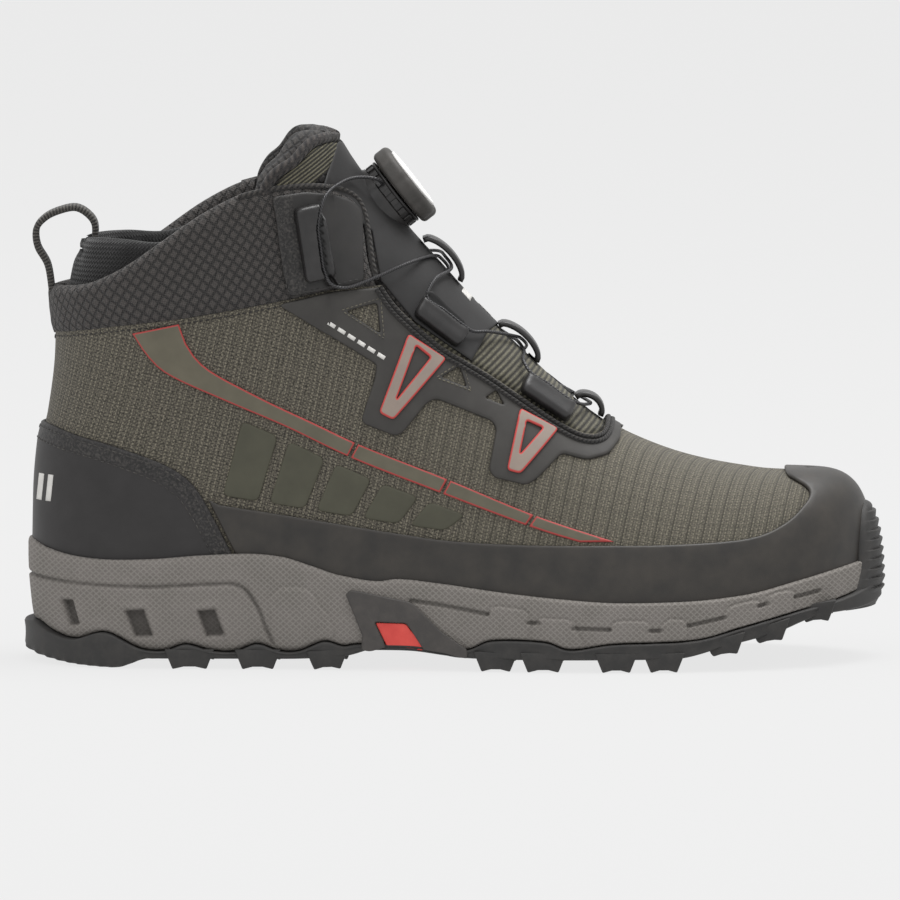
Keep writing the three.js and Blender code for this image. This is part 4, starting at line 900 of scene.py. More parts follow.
HEEL_RECESSES = [
    [[-136.2, 23.4], [-132.6, 23.6], [-130.4, 15.2], [-133.4, 14.6]],
    [[-115.6, 20.6], [-109.6, 21], [-106.3, 11.6], [-112.4, 11.4]],
    [[-90.6, 20.6], [-84.6, 21.2], [-81.2, 12], [-87.4, 11.6]],
]
HEEL_GROOVE = through(
    [
        [-153, 31.2], [-140, 30.2], [-128, 29.4], [-108.5, 28.8], [-95, 29.4], [-84.8, 29.9], [-78.6, 30],
        [-74.2, 28.3], [-71.6, 25.2], [-68.9, 20.8], [-66.7, 15], [-64.5, 10.4], [-63, 6],
    ],
    40,
)
SIDE_PANEL = [
    [-65.4, 24.6], [-63.2, 27.4], [-61.5, 28.6], [-56.5, 29.2], [-52.1, 28.5], [-49.5, 26.2], [-46.8, 22.1],
    [-44.5, 19.4], [-41.7, 14.5], [-44, 8], [-58, 4], [-64, 6],
]
HEEL_PANEL = [
    [-154, 31.4], [-108.5, 29.0], [-84.8, 30.1], [-78.6, 30.2], [-74.2, 28.5], [-68.9, 21], [-64.5, 10.4], [-63, 3],
    [-154, 3],
]
ARCH_GROOVE = [[-15, 24.6], [-5.3, 23.4], [3.5, 21.9], [12.4, 20.2]]
TOE_PANELS = [
    [[12.4, 20], [13.4, 22.6], [16, 23.2], [24.5, 22.2], [26.6, 20.6], [27.6, 16.8], [24, 4], [8, 4]],
    [[29, 17.6], [30.4, 19.2], [40, 18.9], [42.4, 17.6], [43.4, 14.4], [47, 8], [36, 4], [27, 8]],
    [[54.4, 14.6], [55.6, 17.6], [58.5, 18.4], [66.4, 18.3], [68.2, 17.2], [69, 14.2], [70, 8], [52, 8]],
    [[71, 14.6], [72.4, 17.4], [75, 19], [79.6, 18.6], [81.4, 16.6], [80, 9], [72, 8]],
    [[93, 19], [94.6, 22.4], [97, 23.4], [103.6, 24.8], [105.6, 24.3], [106, 22.6], [104, 12], [94, 12]],
    [[107.8, 23.4], [108.4, 25.8], [111.4, 27.2], [116, 27.8], [118, 26.6], [117, 18], [108, 16]],
]
TOE_DASHES = [
    [[26.6, 17.4], [30.2, 17.3]],
    [[42, 15.6], [54.6, 15.2]],
    [[68, 14.8], [71.8, 14.8]],
    [[81, 16.4], [93.6, 19]],
    [[105.2, 22.6], [108.2, 23.3]],
]
TOE_DASHES += [[[118, 25.2], [126.4, 26.9]]]


def midsole_relief(x, z):
    """Moulded relief of the midsole's wall, in millimetres outwards."""
    relief = ridge_along(x, z, HEEL_GROOVE, 1.0, -1.3)
    relief += 0.55 * plateau(x, z, HEEL_PANEL, 0.8) * smooth(-156, -120, x)
    for recess in HEEL_RECESSES:
        middle = np.mean(recess, 0)
        frame_around = [list(middle + (np.array(p) - middle) * 1.45) for p in recess]
        relief += 0.45 * plateau(x, z, frame_around, 1.2) - 3.2 * plateau(x, z, recess, 0.6)
    relief += 0.6 * plateau(x, z, SIDE_PANEL, 0.9) + ridge_along(x, z, [*SIDE_PANEL[:9]], 0.8, -0.35)
    relief += ridge_along(x, z, ARCH_GROOVE, 1.0, -1.2)
    for shape in TOE_PANELS:
        relief += 0.5 * plateau(x, z, shape, 0.7) + ridge_along(x, z, shape[:6], 0.7, -0.4)
    for dash in TOE_DASHES:
        relief += ridge_along(x, z, dash, 1.0, -1.2)
    return relief


sole_t = np.unique(np.concatenate([np.linspace(0, 0.36, 260), np.linspace(0.36, 0.78, 300), np.linspace(0.78, 1, 170)]))
side_wall = profile([[0, 3.9], [0.45, 5.6], [0.85, 5.0], [1, 4.5]])
heel_wall = profile([[0, -2.6], [0.45, 1.4], [0.85, 2.6], [1, 2.6]])
toe_wall = profile([[0, 0], [0.45, 2.4], [0.85, 2.8], [1, 2.6]])


# How far each point of the wall is sunk, for its finish, which darkens the sunk parts as painted shade.
recess_depth = []


def midsole_rows(side):
    x = column_x(sole_t)
    low, high = sole_line(x) + 0.3, SOLE_TOP(x)
    rows = []
    for v in np.concatenate([[-1, 0, 0.012, 0.03], np.linspace(0.055, 0.93, 40), [0.955, 0.975, 0.99, 1.0, 2, 3, 4]]):
        share = min(max(v, 0), 1)
        z = mix(low, high, share)
        height = (z - 2) / (high - 2)
        round_in = 1.1 * (1 - round_over(1 - share, 0.07)) + 0.9 * (1 - round_over(share, 0.055))
        if v < 0 or v > 1:
            # The hidden underside, the lip that the upper stands on, and the inner wall.
            wall = {2: (1.9, 1.2, 1.4, high + 0.1), 3: (1.8, -2.2, -0.6, high - 1.2)}.get(v, (0.5, -3.5, -1.9, low))
            rows.append(sole_ring(sole_t, side, *wall))
            recess_depth.append(0 * x)
            continue
        relief = midsole_relief(x, z) * smooth(0, 0.06, share) * smooth(1, 0.9, share)
        recess_depth.append(relief)
        outs = [wall(height) - round_in + relief for wall in (side_wall, heel_wall, toe_wall)]
        rows.append(sole_ring(sole_t, side, *outs, z))
    return rows


midsole_wall = swept("midsole_wall", sole_t, midsole_rows, extra=lambda: np.concatenate(recess_depth))
keep(midsole_wall, "midsole_foam", "midsole")


def outsole_rows(side):
    x = column_x(sole_t)
    high, low = sole_line(x), np.minimum(underside(x), sole_line(x) - 2.0)
    rows = []
    heel_ribs = 0.45 * np.sin(x / 0.55) * smooth(-100, -112, x)

    def ring(out_shift, z, extra=0.0):
        lean = -0.9 * (1 - smooth(0, 6, z))
        toe_out = 2.4 + 2.6 * smooth(15, 22, z)
        return sole_ring(sole_t, side, *[out + lean + out_shift + extra for out in (SOLE_EDGE, 4.0, toe_out)], z)

    rows.append(ring(-5, high))
    rows.append(ring(-1.1, high))
    rows.append(ring(-0.25, high - 0.25))
    rows.append(ring(0, high - 0.8))
    for share in (0.3, 0.5, 0.7, 0.85):
        rows.append(ring(0, mix(high, low, share), -0.35 * math.sin(share * math.pi)))
    rows.append(ring(-0.15, low + 0.5, heel_ribs))
    rows.append(ring(-0.7, low, heel_ribs))
    middle = np.stack([np.clip(x, -128, 122), centre_line(np.clip(x, -128, 122)), 0 * x], -1)
    floor_edge = ring(-1.8, low)
    for share in (0.0, 0.12, 0.3, 0.55, 0.8, 1.0):
        line = mix(floor_edge, middle, share)
        line[:, 2] = underside(line[:, 0]) + 0.4
        rows.append(line)
    for share in (1.0, 0.5):
        line = mix(floor_edge, middle, share)
        line[:, 2] = np.minimum(sole_line(line[:, 0]), 30) + 1.2
        rows.append(line)
    return rows


outsole = swept("outsole_rubber_plate", sole_t, outsole_rows)
keep(outsole, "outsole_rubber", "outsole")


def edge_y(x, side, out):
    return centre_line(x) + side * (half_width(x) * end_round(x) + out)


def solid_from_outline(name, outline, depth0, depth1, side, bevel, holes=()):
    """A block with a drawn side-view outline, standing at the sole's edge from one depth to another, with beveled
    edges."""
    step = closed_steps(outline, 1.2)
    loops = [step, *[closed_steps(h, 1.2) for h in holes]]
    points = np.concatenate(loops)
    edges, start = [], 0
    for loop in loops:
        edges += [(start + i, start + (i + 1) % len(loop)) for i in range(len(loop))]
        start += len(loop)
    verts, _, faces, _, _, _ = delaunay_2d_cdt([Vector(p) for p in points], edges, [], 0, 1e-4)
    flat = np.array([tuple(v) for v in verts])
    faces = [
        f
        for f in faces
        if inside(flat[list(f)].mean(0)[None], step)[0] and not any(
            inside(flat[list(f)].mean(0)[None], h)[0] for h in loops[1:]
        )
    ]
    b = bmesh.new()
    made = [b.verts.new(to_frame([[x, edge_y(x, side, depth1), z]])[0]) for x, z in flat]
    for f in faces:
        b.faces.new([made[i] for i in f])
    face_list = list(b.faces)
    solid = bmesh.ops.extrude_face_region(b, geom=face_list)
    for v in [g for g in solid["geom"] if isinstance(g, bmesh.types.BMVert)]:
        x = v.co.x / MM
        v.co.y = to_frame([[x, edge_y(x, side, depth0), 0]])[0][1]
    bmesh.ops.recalc_face_normals(b, faces=b.faces)
    front = {f for f in b.faces if abs(f.normal.y) > 0.7}
    sharp = [e for e in b.edges if len(e.link_faces) == 2 and (e.link_faces[0] in front) != (e.link_faces[1] in front)]
    bmesh.ops.bevel(b, geom=sharp, offset=bevel * MM, segments=3, profile=0.6, affect="EDGES")
    piece = new_object(name, [], [])
    b.to_mesh(piece.data)
    b.free()
    return shade(piece, 35)


ARCH_INSERT = [[-28.1, 16.9], [-17.4, 16.6], [-10.1, 7.2], [-23.9, 8.3]]
for label, side in SIDES.items():
    outline, window = rounded(ARCH_BRIDGE, 1.2, 3), rounded(ARCH_WINDOW, 1.0, 3)
    bridge = solid_from_outline(f"arch_bridge_{label}", outline, -5, SOLE_EDGE + 0.5, side, 0.7, [window])
    keep(bridge, "arch_plastic")
    outline = rounded(ARCH_INSERT, 0.9, 3)
    insert = solid_from_outline(f"arch_insert_block_{label}", outline, -4, SOLE_EDGE - 0.3, side, 0.4)
    keep(insert, "arch_plastic", f"arch_insert_{label}")

# Rows of lugs: centre X, ground height under them, and half-length where they touch the ground.
LUGS = [
    [-93.7, 0, 6], [-69.6, 0, 5.4], [-45, 0, 4.6], [14.3, 0, 5], [31, 0, 5.4], [56.7, 0, 4.8], [73.5, 0, 4.6],
    [95.2, 5.3, 4.2], [111.3, 9.3, 4], [127.9, 15.7, 4],
]
LUG_SPANS = [[0, 0.27], [0.35, 0.475], [0.525, 0.65], [0.73, 1]]


def lug(name, x, ground, half_length, y0, y1, edge_side):
    """One lug, shaped from a cube: a wider root, a narrower foot, and a groove across the foot."""
    bpy.ops.object.select_all(action="DESELECT")
    bpy.ops.mesh.primitive_cube_add(size=1, location=(0, 0, 0))
    block = bpy.context.object
    block.name = name
    bpy.ops.object.mode_set(mode="EDIT")
    bpy.ops.mesh.select_all(action="SELECT")
    bpy.ops.mesh.subdivide(number_cuts=2)
    bpy.ops.object.mode_set(mode="OBJECT")
    root, hollow, taper = 7.0, 0.9, 1.3
    slope = (float(underside(x + 3)) - float(underside(x - 3))) / 6
    for v in block.data.vertices:
        u, s, h = v.co.x * 2, v.co.y * 2, v.co.z + 0.5
        length = half_length + 2.8 * h
        narrow = taper * (1 - h)
        groove = hollow if h < 0.1 and abs(u) < 0.5 else 0
        start = y0 + (narrow if edge_side >= 0 else 0.2)
        end = y1 - (narrow if edge_side <= 0 else 0.2)
        y = mix(start, end, (s + 1) / 2)
        z = max(ground + h * root + slope * u * length + groove, ground + groove)
        v.co = Vector(to_frame([[x + u * length, y, z]])[0])
    face_outwards(block)
    bevel = block.modifiers.new("soft edges", "BEVEL")
    bevel.width, bevel.segments = 0.45 * MM, 2
    bevel.limit_method, bevel.angle_limit = "ANGLE", math.radians(30)
    bpy.ops.object.modifier_apply(modifier=bevel.name)
    return shade(block, 40)


lug_blocks = []
for row, (x, ground, half_length) in enumerate(LUGS):
    lateral, medial = edge_y(x, -1, SOLE_EDGE + 0.2), edge_y(x, 1, SOLE_EDGE + 0.2)
    for place, (a, b) in enumerate(LUG_SPANS):
        edge_side = {0: -1, 3: 1}.get(place, 0)
        # The two inner lugs of a row stand forward and back of it, a little higher and shorter.
        shift, rise, less = (0, 0, 0) if edge_side else (3.0 if place == 1 else -3.0, 0.15, 0.8)
        y0, y1 = mix(lateral, medial, a), mix(lateral, medial, b)
        lug_blocks.append(lug(f"lug_{row}_{place}", x + shift, ground + rise, half_length - less, y0, y1, edge_side))
keep(joined("outsole_lugs", lug_blocks), "outsole_rubber")


BUMPER_FOOT, BUMPER_TOP, TOOTH_PITCH = 18.6, 55.6, 3.35


def bumper():
    """The rubber toe bumper: wrapped round the toe, with saw teeth down its front."""
    rear_x = profile([[17.6, 139.5], [26, 142.4], [35.6, 144.6], [52.6, 145], [56.4, 146.2]])
    heights = np.linspace(BUMPER_FOOT, BUMPER_TOP, 150)
    across = np.concatenate([-np.linspace(1, 0, 36, endpoint=False), np.linspace(0, 1, 37)])
    tt = np.linspace(0.8, 1, 160)
    share = np.linspace(0, 1, 400)
    outer, inner = [], []
    lift = -12.0
    column_heights = [form(np.full(400, t), share, -1, 0, lift)[:, 2] for t in tt]
    for z in heights:
        w = np.array([np.interp(z, column, share) for column in column_heights])
        xs = form(tt, w, -1, 4.0, lift)[:, 0]
        t0 = float(np.interp(rear_x(z), xs, tt))
        t = 1 - (1 - t0) * np.abs(across)
        w_row = np.interp(t, tt, w)
        side = np.where(across < 0, -1, 1)
        teeth = (z - BUMPER_FOOT) / TOOTH_PITCH % 1
        front = smooth(1, 0.55, np.abs(across))
        edge_z = min(z - BUMPER_FOOT, BUMPER_TOP - z)
        rim = round_over(np.minimum(edge_z, 14 * (1 - np.abs(across))), 2.2)
        rim = rim * (0.35 + 0.65 * float(smooth(BUMPER_FOOT, 27, z)))
        out = 2.2 + rim * (2.7 + 1.3 * front) - front * rim * 1.5 * (1 - teeth) * (teeth > 0.12)
        for depth, lines in ((out, outer), (2.1, inner)):
            points = form(t, w_row, side, depth, lift)
            points[:, 2] = z
            lines.append(points)
    rows, n = len(heights), len(across)
    verts = np.concatenate(outer + inner[::-1])
    faces = []
    for r in range(2 * rows):
        for i in range(n - 1):
            a, b = r * n + i, ((r + 1) % (2 * rows)) * n + i
            faces.append((a, a + 1, b + 1, b))
    for i in (0, n - 1):
        for r in range(rows - 1):
            a, b = r * n + i, (r + 1) * n + i
            c, d = (2 * rows - 1 - r) * n + i, (2 * rows - 2 - r) * n + i
            faces.append((a, b, d, c) if i == 0 else (b, a, c, d))
    return shade(face_outwards(new_object("toe_bumper", to_frame(verts), faces), 0.01 * MM), 40)


keep(bumper(), "outsole_rubber")

# ---------------------------------------------------------------- footbed
bed_pattern_t = np.linspace(0, 1, 240)


def footbed_rows(side):
    x = column_x(bed_pattern_t)
    lines = []
    middle = np.stack([np.clip(x, -118, 112), centre_line(np.clip(x, -118, 112)), 0 * x], -1)
    for drop, share in [
        (4.8, 1.0),
        (4.8, 0.4),
        (4.8, 0.0),
        (3.2, -0.012),
        (1.0, -0.008),
        (0.0, 0.02),
        (0.2, 0.06),
        (0.9, 0.14),
        (1.3, 0.3),
        (1.1, 0.6),
        (1.0, 1.0),
    ]:
        edge = sole_ring(bed_pattern_t, side, -5.9, -5.9, -5.9, 0)
        line = mix(edge, middle, share)
        line[:, 2] = feather_height(line[:, 0]) + 2.1 + 4.8 - drop
        lines.append(line)
    return lines


keep(swept("footbed_sheet", bed_pattern_t, footbed_rows, closed=False), "footbed_fabric", "footbed")

# ---------------------------------------------------------------- dial
DIAL_ANGLE = math.radians(38)
DIAL_X = -25.4
AXIS = np.array([math.cos(DIAL_ANGLE), 0, math.sin(DIAL_ANGLE)])
UPWARD = np.array([-math.sin(DIAL_ANGLE), 0, math.cos(DIAL_ANGLE)])
DIAL_SEAT = np.array([DIAL_X, 0, float(ridge_height(DIAL_X))]) + AXIS * 1.1
DIAL_FRAME = np.stack([UPWARD, [0, -1, 0], AXIS], 1)


def on_dial(piece):
    """Puts a piece drawn round its own Z axis, in millimetres, on the dial's axis."""
    matrix = Matrix.Identity(4)
    for i in range(3):
        for j in range(3):
            matrix[i][j] = DIAL_FRAME[i][j] * MM
        matrix[i][3] = to_frame([DIAL_SEAT])[0][i]
    piece.data.transform(matrix)
    piece.data.update()
    return piece


def turned(name, outline, steps=96, shape=None):
    """A turned solid: a profile of radius and height, in millimetres, spun round the dial's axis."""
    outline = np.array(outline, float)
    mesh = bpy.data.meshes.new(name)
    mesh.from_pydata([(r, 0, h) for r, h in outline], [(i, i + 1) for i in range(len(outline) - 1)], [])
    piece = bpy.data.objects.new(name, mesh)
    bpy.context.scene.collection.objects.link(piece)
    select_only(piece)
    bpy.ops.object.mode_set(mode="EDIT")
    bpy.ops.mesh.select_all(action="SELECT")
    bpy.ops.mesh.spin(steps=steps, angle=2 * math.pi, center=(0, 0, 0), axis=(0, 0, 1))
    bpy.ops.object.mode_set(mode="OBJECT")
    face_outwards(piece, 0.002)
    if shape:
        for v in piece.data.vertices:
            v.co = shape(v.co)
    return on_dial(shade(piece, 32))


def arc(centre_r, centre_h, radius, start, end, steps=5):
    """A quarter round for a turned profile, from one angle to another in degrees."""
    angles = [math.radians(mix(start, end, k / steps)) for k in range(steps + 1)]
    return [[centre_r + radius * math.cos(a), centre_h + radius * math.sin(a)] for a in angles]


def knob_grip(co):
    """Shallow finger scallops round the knob's side."""
    r = math.hypot(co.x, co.y)
    if r < 13.9:
        return co
    angle = math.atan2(co.y, co.x)
    cut = 0.32 * max(0, math.cos(9 * angle)) ** 3
    return Vector((co.x * (1 - cut / r), co.y * (1 - cut / r), co.z))


UNDER, CROWN = 5.4, 11.9
knob = turned(
    "dial_knob_grip",
    [
        [0, 3.8],
        [2.7, 3.8],
        [3.0, 4.1],
        [3.0, UNDER],
        [12.6, UNDER],
        *arc(13.4, UNDER + 1.6, 1.6, -90, 0),
        *arc(13.0, CROWN - 2.0, 2.0, 0, 90, 8),
        [12.3, CROWN],
        [12.1, CROWN - 0.15],
        [12.1, CROWN - 0.7],
        [0, CROWN - 0.7],
    ],
    144,
    knob_grip,
)
keep(knob, "dial_grip", "dial_knob", body="knob")
cap = turned(
    "dial_cap_face",
    [
        [0, CROWN - 0.4],
        [11.8, CROWN - 0.4],
        [11.8, CROWN + 0.25],
        *arc(11.3, CROWN + 0.2, 0.5, 0, 90, 4),
        [9.6, CROWN + 0.72],
        [9.4, CROWN + 0.6],
        [9.0, CROWN + 0.6],
        [8.8, CROWN + 0.72],
        [0, CROWN + 0.8],
    ],
    96,
)
keep(cap, "dial_face", "dial_cap", body="knob")
base = turned(
    "dial_base_housing",
    [
        [0, -5.0],
        [12.4, -5.0],
        [13.0, -4.4],
        [13.0, 0.6],
        [12.2, 1.0],
        [12.2, 3.6],
        [12.8, 3.9],
        *arc(12.5, 4.4, 0.5, -10, 90),
        [9.2, 4.9],
        [9.0, 4.7],
        [9.0, 0.9],
        [1.9, 0.9],
        [1.9, 2.3],
        [1.7, 2.5],
        [0, 2.5],
    ],
    96,
)
keep(base, "dial_plastic", "dial_base")
posts, POSTS = [], 18
for k in range(POSTS):
    bpy.ops.object.select_all(action="DESELECT")
    bpy.ops.mesh.primitive_cube_add(size=1, location=(0, 0, 0), scale=(1.0, 1.9, 2.7))
    post = bpy.context.object
    bpy.ops.object.transform_apply(location=False, rotation=False, scale=True)
    edges = post.modifiers.new("edges", "BEVEL")
    edges.width, edges.segments = 0.18, 2
    bpy.ops.object.modifier_apply(modifier=edges.name)
    post.data.transform(Matrix.Rotation(2 * math.pi * k / POSTS, 4, "Z") @ Matrix.Translation((12.35, 0, 2.3)))
    on_dial(post)
    posts.append(post)
keep(joined("dial_base_ribs", posts), "dial_plastic")
spool = turned(
    "dial_spool_drum",
    [
        [2.3, 1.3], [8.4, 1.3], [8.6, 1.5], [8.6, 1.9], [8.4, 2.1], [5.4, 2.1], [5.2, 2.3], [5.2, 3.8], [5.4, 4.0],
        [8.4, 4.0], [8.6, 4.2], [8.6, 4.6], [8.4, 4.8], [3.3, 4.8], [3.3, 3.5], [2.3, 3.5], [2.3, 1.3],
    ],
    72,
)
keep(spool, "dial_plastic", "dial_spool", body="spool")

# ---------------------------------------------------------------- lace and its guides
LACE_RADIUS, GUIDE_HEIGHT = 0.6, 3.6
PANEL_TOP = 3.1
GUIDE_FROM = {"ankle": PANEL_TOP + 0.3, "upper": 1.8, "lower": 1.8}
# Where the lace runs in each guide, in side view. The guide's slot lies over it.
GUIDE_SLOTS = {
    "ankle": [[-48.6, 166.9], [-50.2, 161.9], [-50.6, 155.5], [-49.4, 148.5], [-48, 141], [-45.4, 135.9]],
    "upper": [[-11.4, 128.1], [-5.6, 123.8], [0.6, 118.8], [4.4, 116.4]],
    "lower": [[25.2, 100.7], [31, 96.8], [37, 92.1], [41.6, 89.6]],
}


def at_form(x, z, side, out):
    t, w = locate([[x, z]], 0.0)
    return form(np.clip(t, 0.01, 0.99), np.clip(w, 0.01, 0.99), side, out)[0]


def over_ridge(x, sideways, out):
    """A point over the ridge: at a drawn X, a real distance sideways and above the surface."""
    side = -1 if sideways < 0 else 1
    t = mix(LEG_END, TOE_START, (x - LEG_FRONT) / (ROUND_FRONT - LEG_FRONT))
    shares = np.linspace(0, 1, 2001)
    points = form(np.full(2001, t), shares, side, out)
    reach = np.abs(points[:, 1] - ridge_side(x))
    return points[int(np.argmax(reach <= abs(sideways)))]


def dial_point(height, sideways, upward):
    return DIAL_SEAT + AXIS * height + UPWARD * upward + np.array([0, sideways, 0])


def lace_points():
    ankle, facing = GUIDE_FROM["ankle"] + GUIDE_HEIGHT / 2, GUIDE_FROM["upper"] + GUIDE_HEIGHT / 2
    lace_height = 0.9 + 0.4 + 0.8 + LACE_RADIUS + 0.25

    def half(side, under):
        def across(x0, x1, s, seat):
            height = seat + 0.4 + LACE_RADIUS + (0 if under else 1.5)
            return [over_ridge(x, y, height) for x, y in [(x0, s * 7.5), ((x0 + x1) / 2, s * 0.01), (x1, -s * 7.5)]]

        return [
            dial_point(lace_height, side * 6.6, 0.5),
            dial_point(lace_height, side * 10, 4.5),
            dial_point(lace_height - 0.6, side * 15, 8.6),
            at_form(-37.6, 171.5, side, 3),
            at_form(-44.6, 170.1, side, PANEL_TOP + 1.4),
            *[at_form(x, z, side, ankle) for x, z in GUIDE_SLOTS["ankle"][:-1]],
            at_form(*GUIDE_SLOTS["ankle"][-1], side, PANEL_TOP + 2.2),
            at_form(-40.3, 134.1, side, PANEL_TOP + 2),
            at_form(-30, 135.7, side, PANEL_TOP + 1.6),
            at_form(-19.5, 139.7, side, 4.2),
            *across(-8.4, -3.6, side, 0.8),
            at_form(-9.4, 134, -side, 3.4),
            *[at_form(x, z, -side, facing) for x, z in GUIDE_SLOTS["upper"][:-1]],
            at_form(*GUIDE_SLOTS["upper"][-1], -side, facing - 0.4),
            at_form(10, 115.8, -side, 3),
            *across(19.6, 23.8, -side, 0),
            at_form(22.6, 105, side, 3),
            *[at_form(x, z, side, facing) for x, z in GUIDE_SLOTS["lower"]],
            over_ridge(46, side * 8.5, 2.2),
        ]

    return np.array([*half(-1, True), over_ridge(47, 0.01, 2), *half(1, False)[::-1]])


def smooth_route(points, per_span=10):
    """The centripetal curve through a route's points, so that it never loops at close points."""
    p = np.asarray(points, float)
    p = np.concatenate([[2 * p[0] - p[1]], p, [2 * p[-1] - p[-2]]])
    made = []
    for i in range(1, len(p) - 2):
        p0, p1, p2, p3 = p[i - 1 : i + 3]
        gaps = [max(1e-6, np.linalg.norm(b - a)) ** 0.5 for a, b in ((p0, p1), (p1, p2), (p2, p3))]
        t0, t1, t2, t3 = np.cumsum([0.0, *gaps])
        for t in np.linspace(t1, t2, per_span, endpoint=False):
            a1 = mix(p0, p1, (t - t0) / (t1 - t0))
            a2 = mix(p1, p2, (t - t1) / (t2 - t1))
            a3 = mix(p2, p3, (t - t2) / (t3 - t2))
            b1, b2 = mix(a1, a2, (t - t0) / (t2 - t0)), mix(a2, a3, (t - t1) / (t3 - t1))
            made.append(mix(b1, b2, (t - t1) / (t2 - t1)))
    return np.array([*made, p[-2]])


def sweep(name, route, section, normals=None):
    """A tube: a section (sideways, upwards) carried along a route in the form's millimetres, closed at its ends."""
    route = np.asarray(route, float)
    n, m = len(route), len(section)
    ahead = np.roll(route, -1, 0) - np.roll(route, 1, 0)
    ahead[0], ahead[-1] = route[1] - route[0], route[-1] - route[-2]
    ahead /= np.linalg.norm(ahead, axis=1)[:, None]
    if normals is None:
        up = np.cross(ahead[0], [0, 1, 0.3])
        frames = []
        for direction in ahead:
            up = up - direction * (up @ direction)
            up /= np.linalg.norm(up)
            frames.append(up)
        normals = np.array(frames)
    else:
        normals = normals - ahead * (normals * ahead).sum(1)[:, None]
        normals /= np.maximum(np.linalg.norm(normals, axis=1), 1e-9)[:, None]
    across = np.cross(ahead, normals)
    section = np.asarray(section, float)
    verts = (
        route[:, None] + across[:, None] * section[None, :, :1] + normals[:, None] * section[None, :, 1:]
    ).reshape(-1, 3)
    length = np.concatenate([[0], np.linalg.norm(np.diff(route, axis=0), axis=1).cumsum()])
    round_length = np.concatenate([[0], np.linalg.norm(np.diff(section, axis=0), axis=1).cumsum()])
    faces = []
    for a in range(0, (n - 1) * m, m):
        for k in range(m):
            faces.append((a + k, a + (k + 1) % m, a + m + (k + 1) % m, a + m + k))
    faces += [tuple(range(m))[::-1], tuple((n - 1) * m + k for k in range(m))]
    uv = np.stack([np.repeat(length, m), np.tile(round_length, n)], -1)
    return face_outwards(new_object(name, to_frame(verts), faces, uv * MM))


def circle(radius, sides=12):
    angles = [2 * math.pi * k / sides for k in range(sides)]
    return [[radius * math.cos(a), radius * math.sin(a)] for a in angles]


def slab(width, thickness, corner=0.5, steps=3):
    """A flat band's section with rounded edges."""
    made = []
    for cx, cy, start in [(1, 1, 0), (-1, 1, 90), (-1, -1, 180), (1, -1, 270)]:
        for k in range(steps + 1):
            a = math.radians(start + 90 * k / steps)
            made.append(
                [cx * (width / 2 - corner) + corner * math.cos(a), cy * (thickness / 2 - corner) + corner * math.sin(a)]
            )
    return made


lace_route = smooth_route(lace_points(), 9)
keep(sweep("lace_cord", lace_route, circle(LACE_RADIUS, 12)), "lace_wire", "lace")

GUIDE_SHAPES = {
    "ankle": [[-55.8, 162.4], [-46.6, 164.4], [-41.6, 138.4], [-51.9, 136.2]],
    "upper": [[-9.2, 133.3], [-13.8, 125.9], [2.1, 113.9], [6.2, 120.6]],
    "lower": [[26.8, 105], [23.7, 99.1], [40.6, 87.8], [43.9, 94]],
}
for level, line in GUIDE_SLOTS.items():
    placed = [at_form(x, z, -1, GUIDE_FROM[level] + GUIDE_HEIGHT / 2) for x, z in line]
    GUIDE_SLOTS[level] = [[p[0], p[2]] for p in placed]
for level, shape in GUIDE_SHAPES.items():
    start = GUIDE_FROM[level]
    guide_pattern = Pattern(rounded(shape, 2.2), start + 3, spacing=1.0, rings=(0.2, 0.6, 1.1), step=0.7, seams=False)
    slot_line = GUIDE_SLOTS[level]

    def guide_top(p, start=start, slot_line=slot_line):
        at = form(p.t, p.w, -1, start + GUIDE_HEIGHT / 2)
        high = start + GUIDE_HEIGHT + 0.3 - 1.4 * (1 - round_over(p.edge, 1.5))
        # The slot's depth is kept for the finish, which paints shade in the slot by it.
        p.sunk = ridge_along(at[:, 0], at[:, 2], slot_line, 1.9, -3.1)
        return high + p.sunk + ridge_along(at[:, 0], at[:, 2], slot_line, 3.4, 0.7)

    label = "ankle_guide" if level == "ankle" else f"facing_guide_{level}"
    keep_pair(f"moulded_{label}", guide_pattern, (guide_top, start), "guide_plastic", label)

CENTRE_GUIDES = {"upper": [-12.4, 0.6], "middle": [15.2, 28.6], "lower": [42.6, 51.4]}
for level, (x0, x1) in CENTRE_GUIDES.items():
    seat = 1.1 if level == "upper" else 0.0
    share = np.linspace(0, 1, 33)
    x = mix(x0, x1, share)
    slope = (ridge_height(x + 1) - ridge_height(x - 1)) / 2
    size = np.hypot(1, slope)
    normal = np.stack([-slope / size, 0 * x, 1 / size], -1)
    rise = seat + 0.5 + 4.1 * np.sin(np.pi * share) ** 0.45
    centre = np.stack([x, np.full(33, float(ridge_side((x0 + x1) / 2))), ridge_height(x)], -1) + normal * rise[:, None]
    outwards = np.cross(np.gradient(centre, axis=0), [0, 1, 0])
    strap = sweep(f"tongue_strap_guide_{level}", centre, slab(13, 1.9, 0.8), outwards)
    keep(strap, "guide_plastic", f"tongue_guide_{level}")

# ---------------------------------------------------------------- corded edges, prints and stitches
COLLAR_EDGE = [
    [-76, 166.4], [-65.4, 169], [-52, 170], [-42, 168.6], [-35.5, 165.4], [-32.2, 160], [-30.6, 152], [-29.4, 143.5],
    [-27.9, 136.6],
]
TONGUE_ROPE = [
    [-67.9, 163], [-67, 168.5], [-64.4, 173.4], [-60.4, 176.6], [-57, 178.6], [-53.4, 182.6], [-50, 185.4],
    [-46, 186.2], [-42.6, 185.6],
]
ELASTIC = [
    [-64.2, 166.5], [-62.6, 171.2], [-58.4, 175], [-54.4, 178], [-50.6, 182.2], [-46.6, 184.2], [-42.4, 184.4],
    [-38.8, 182.6], [-43.4, 176.6], [-50, 170.4], [-54, 165.6],
]


def along(line, side, out, steps=80):
    return on_upper(through(line, steps), side, out)


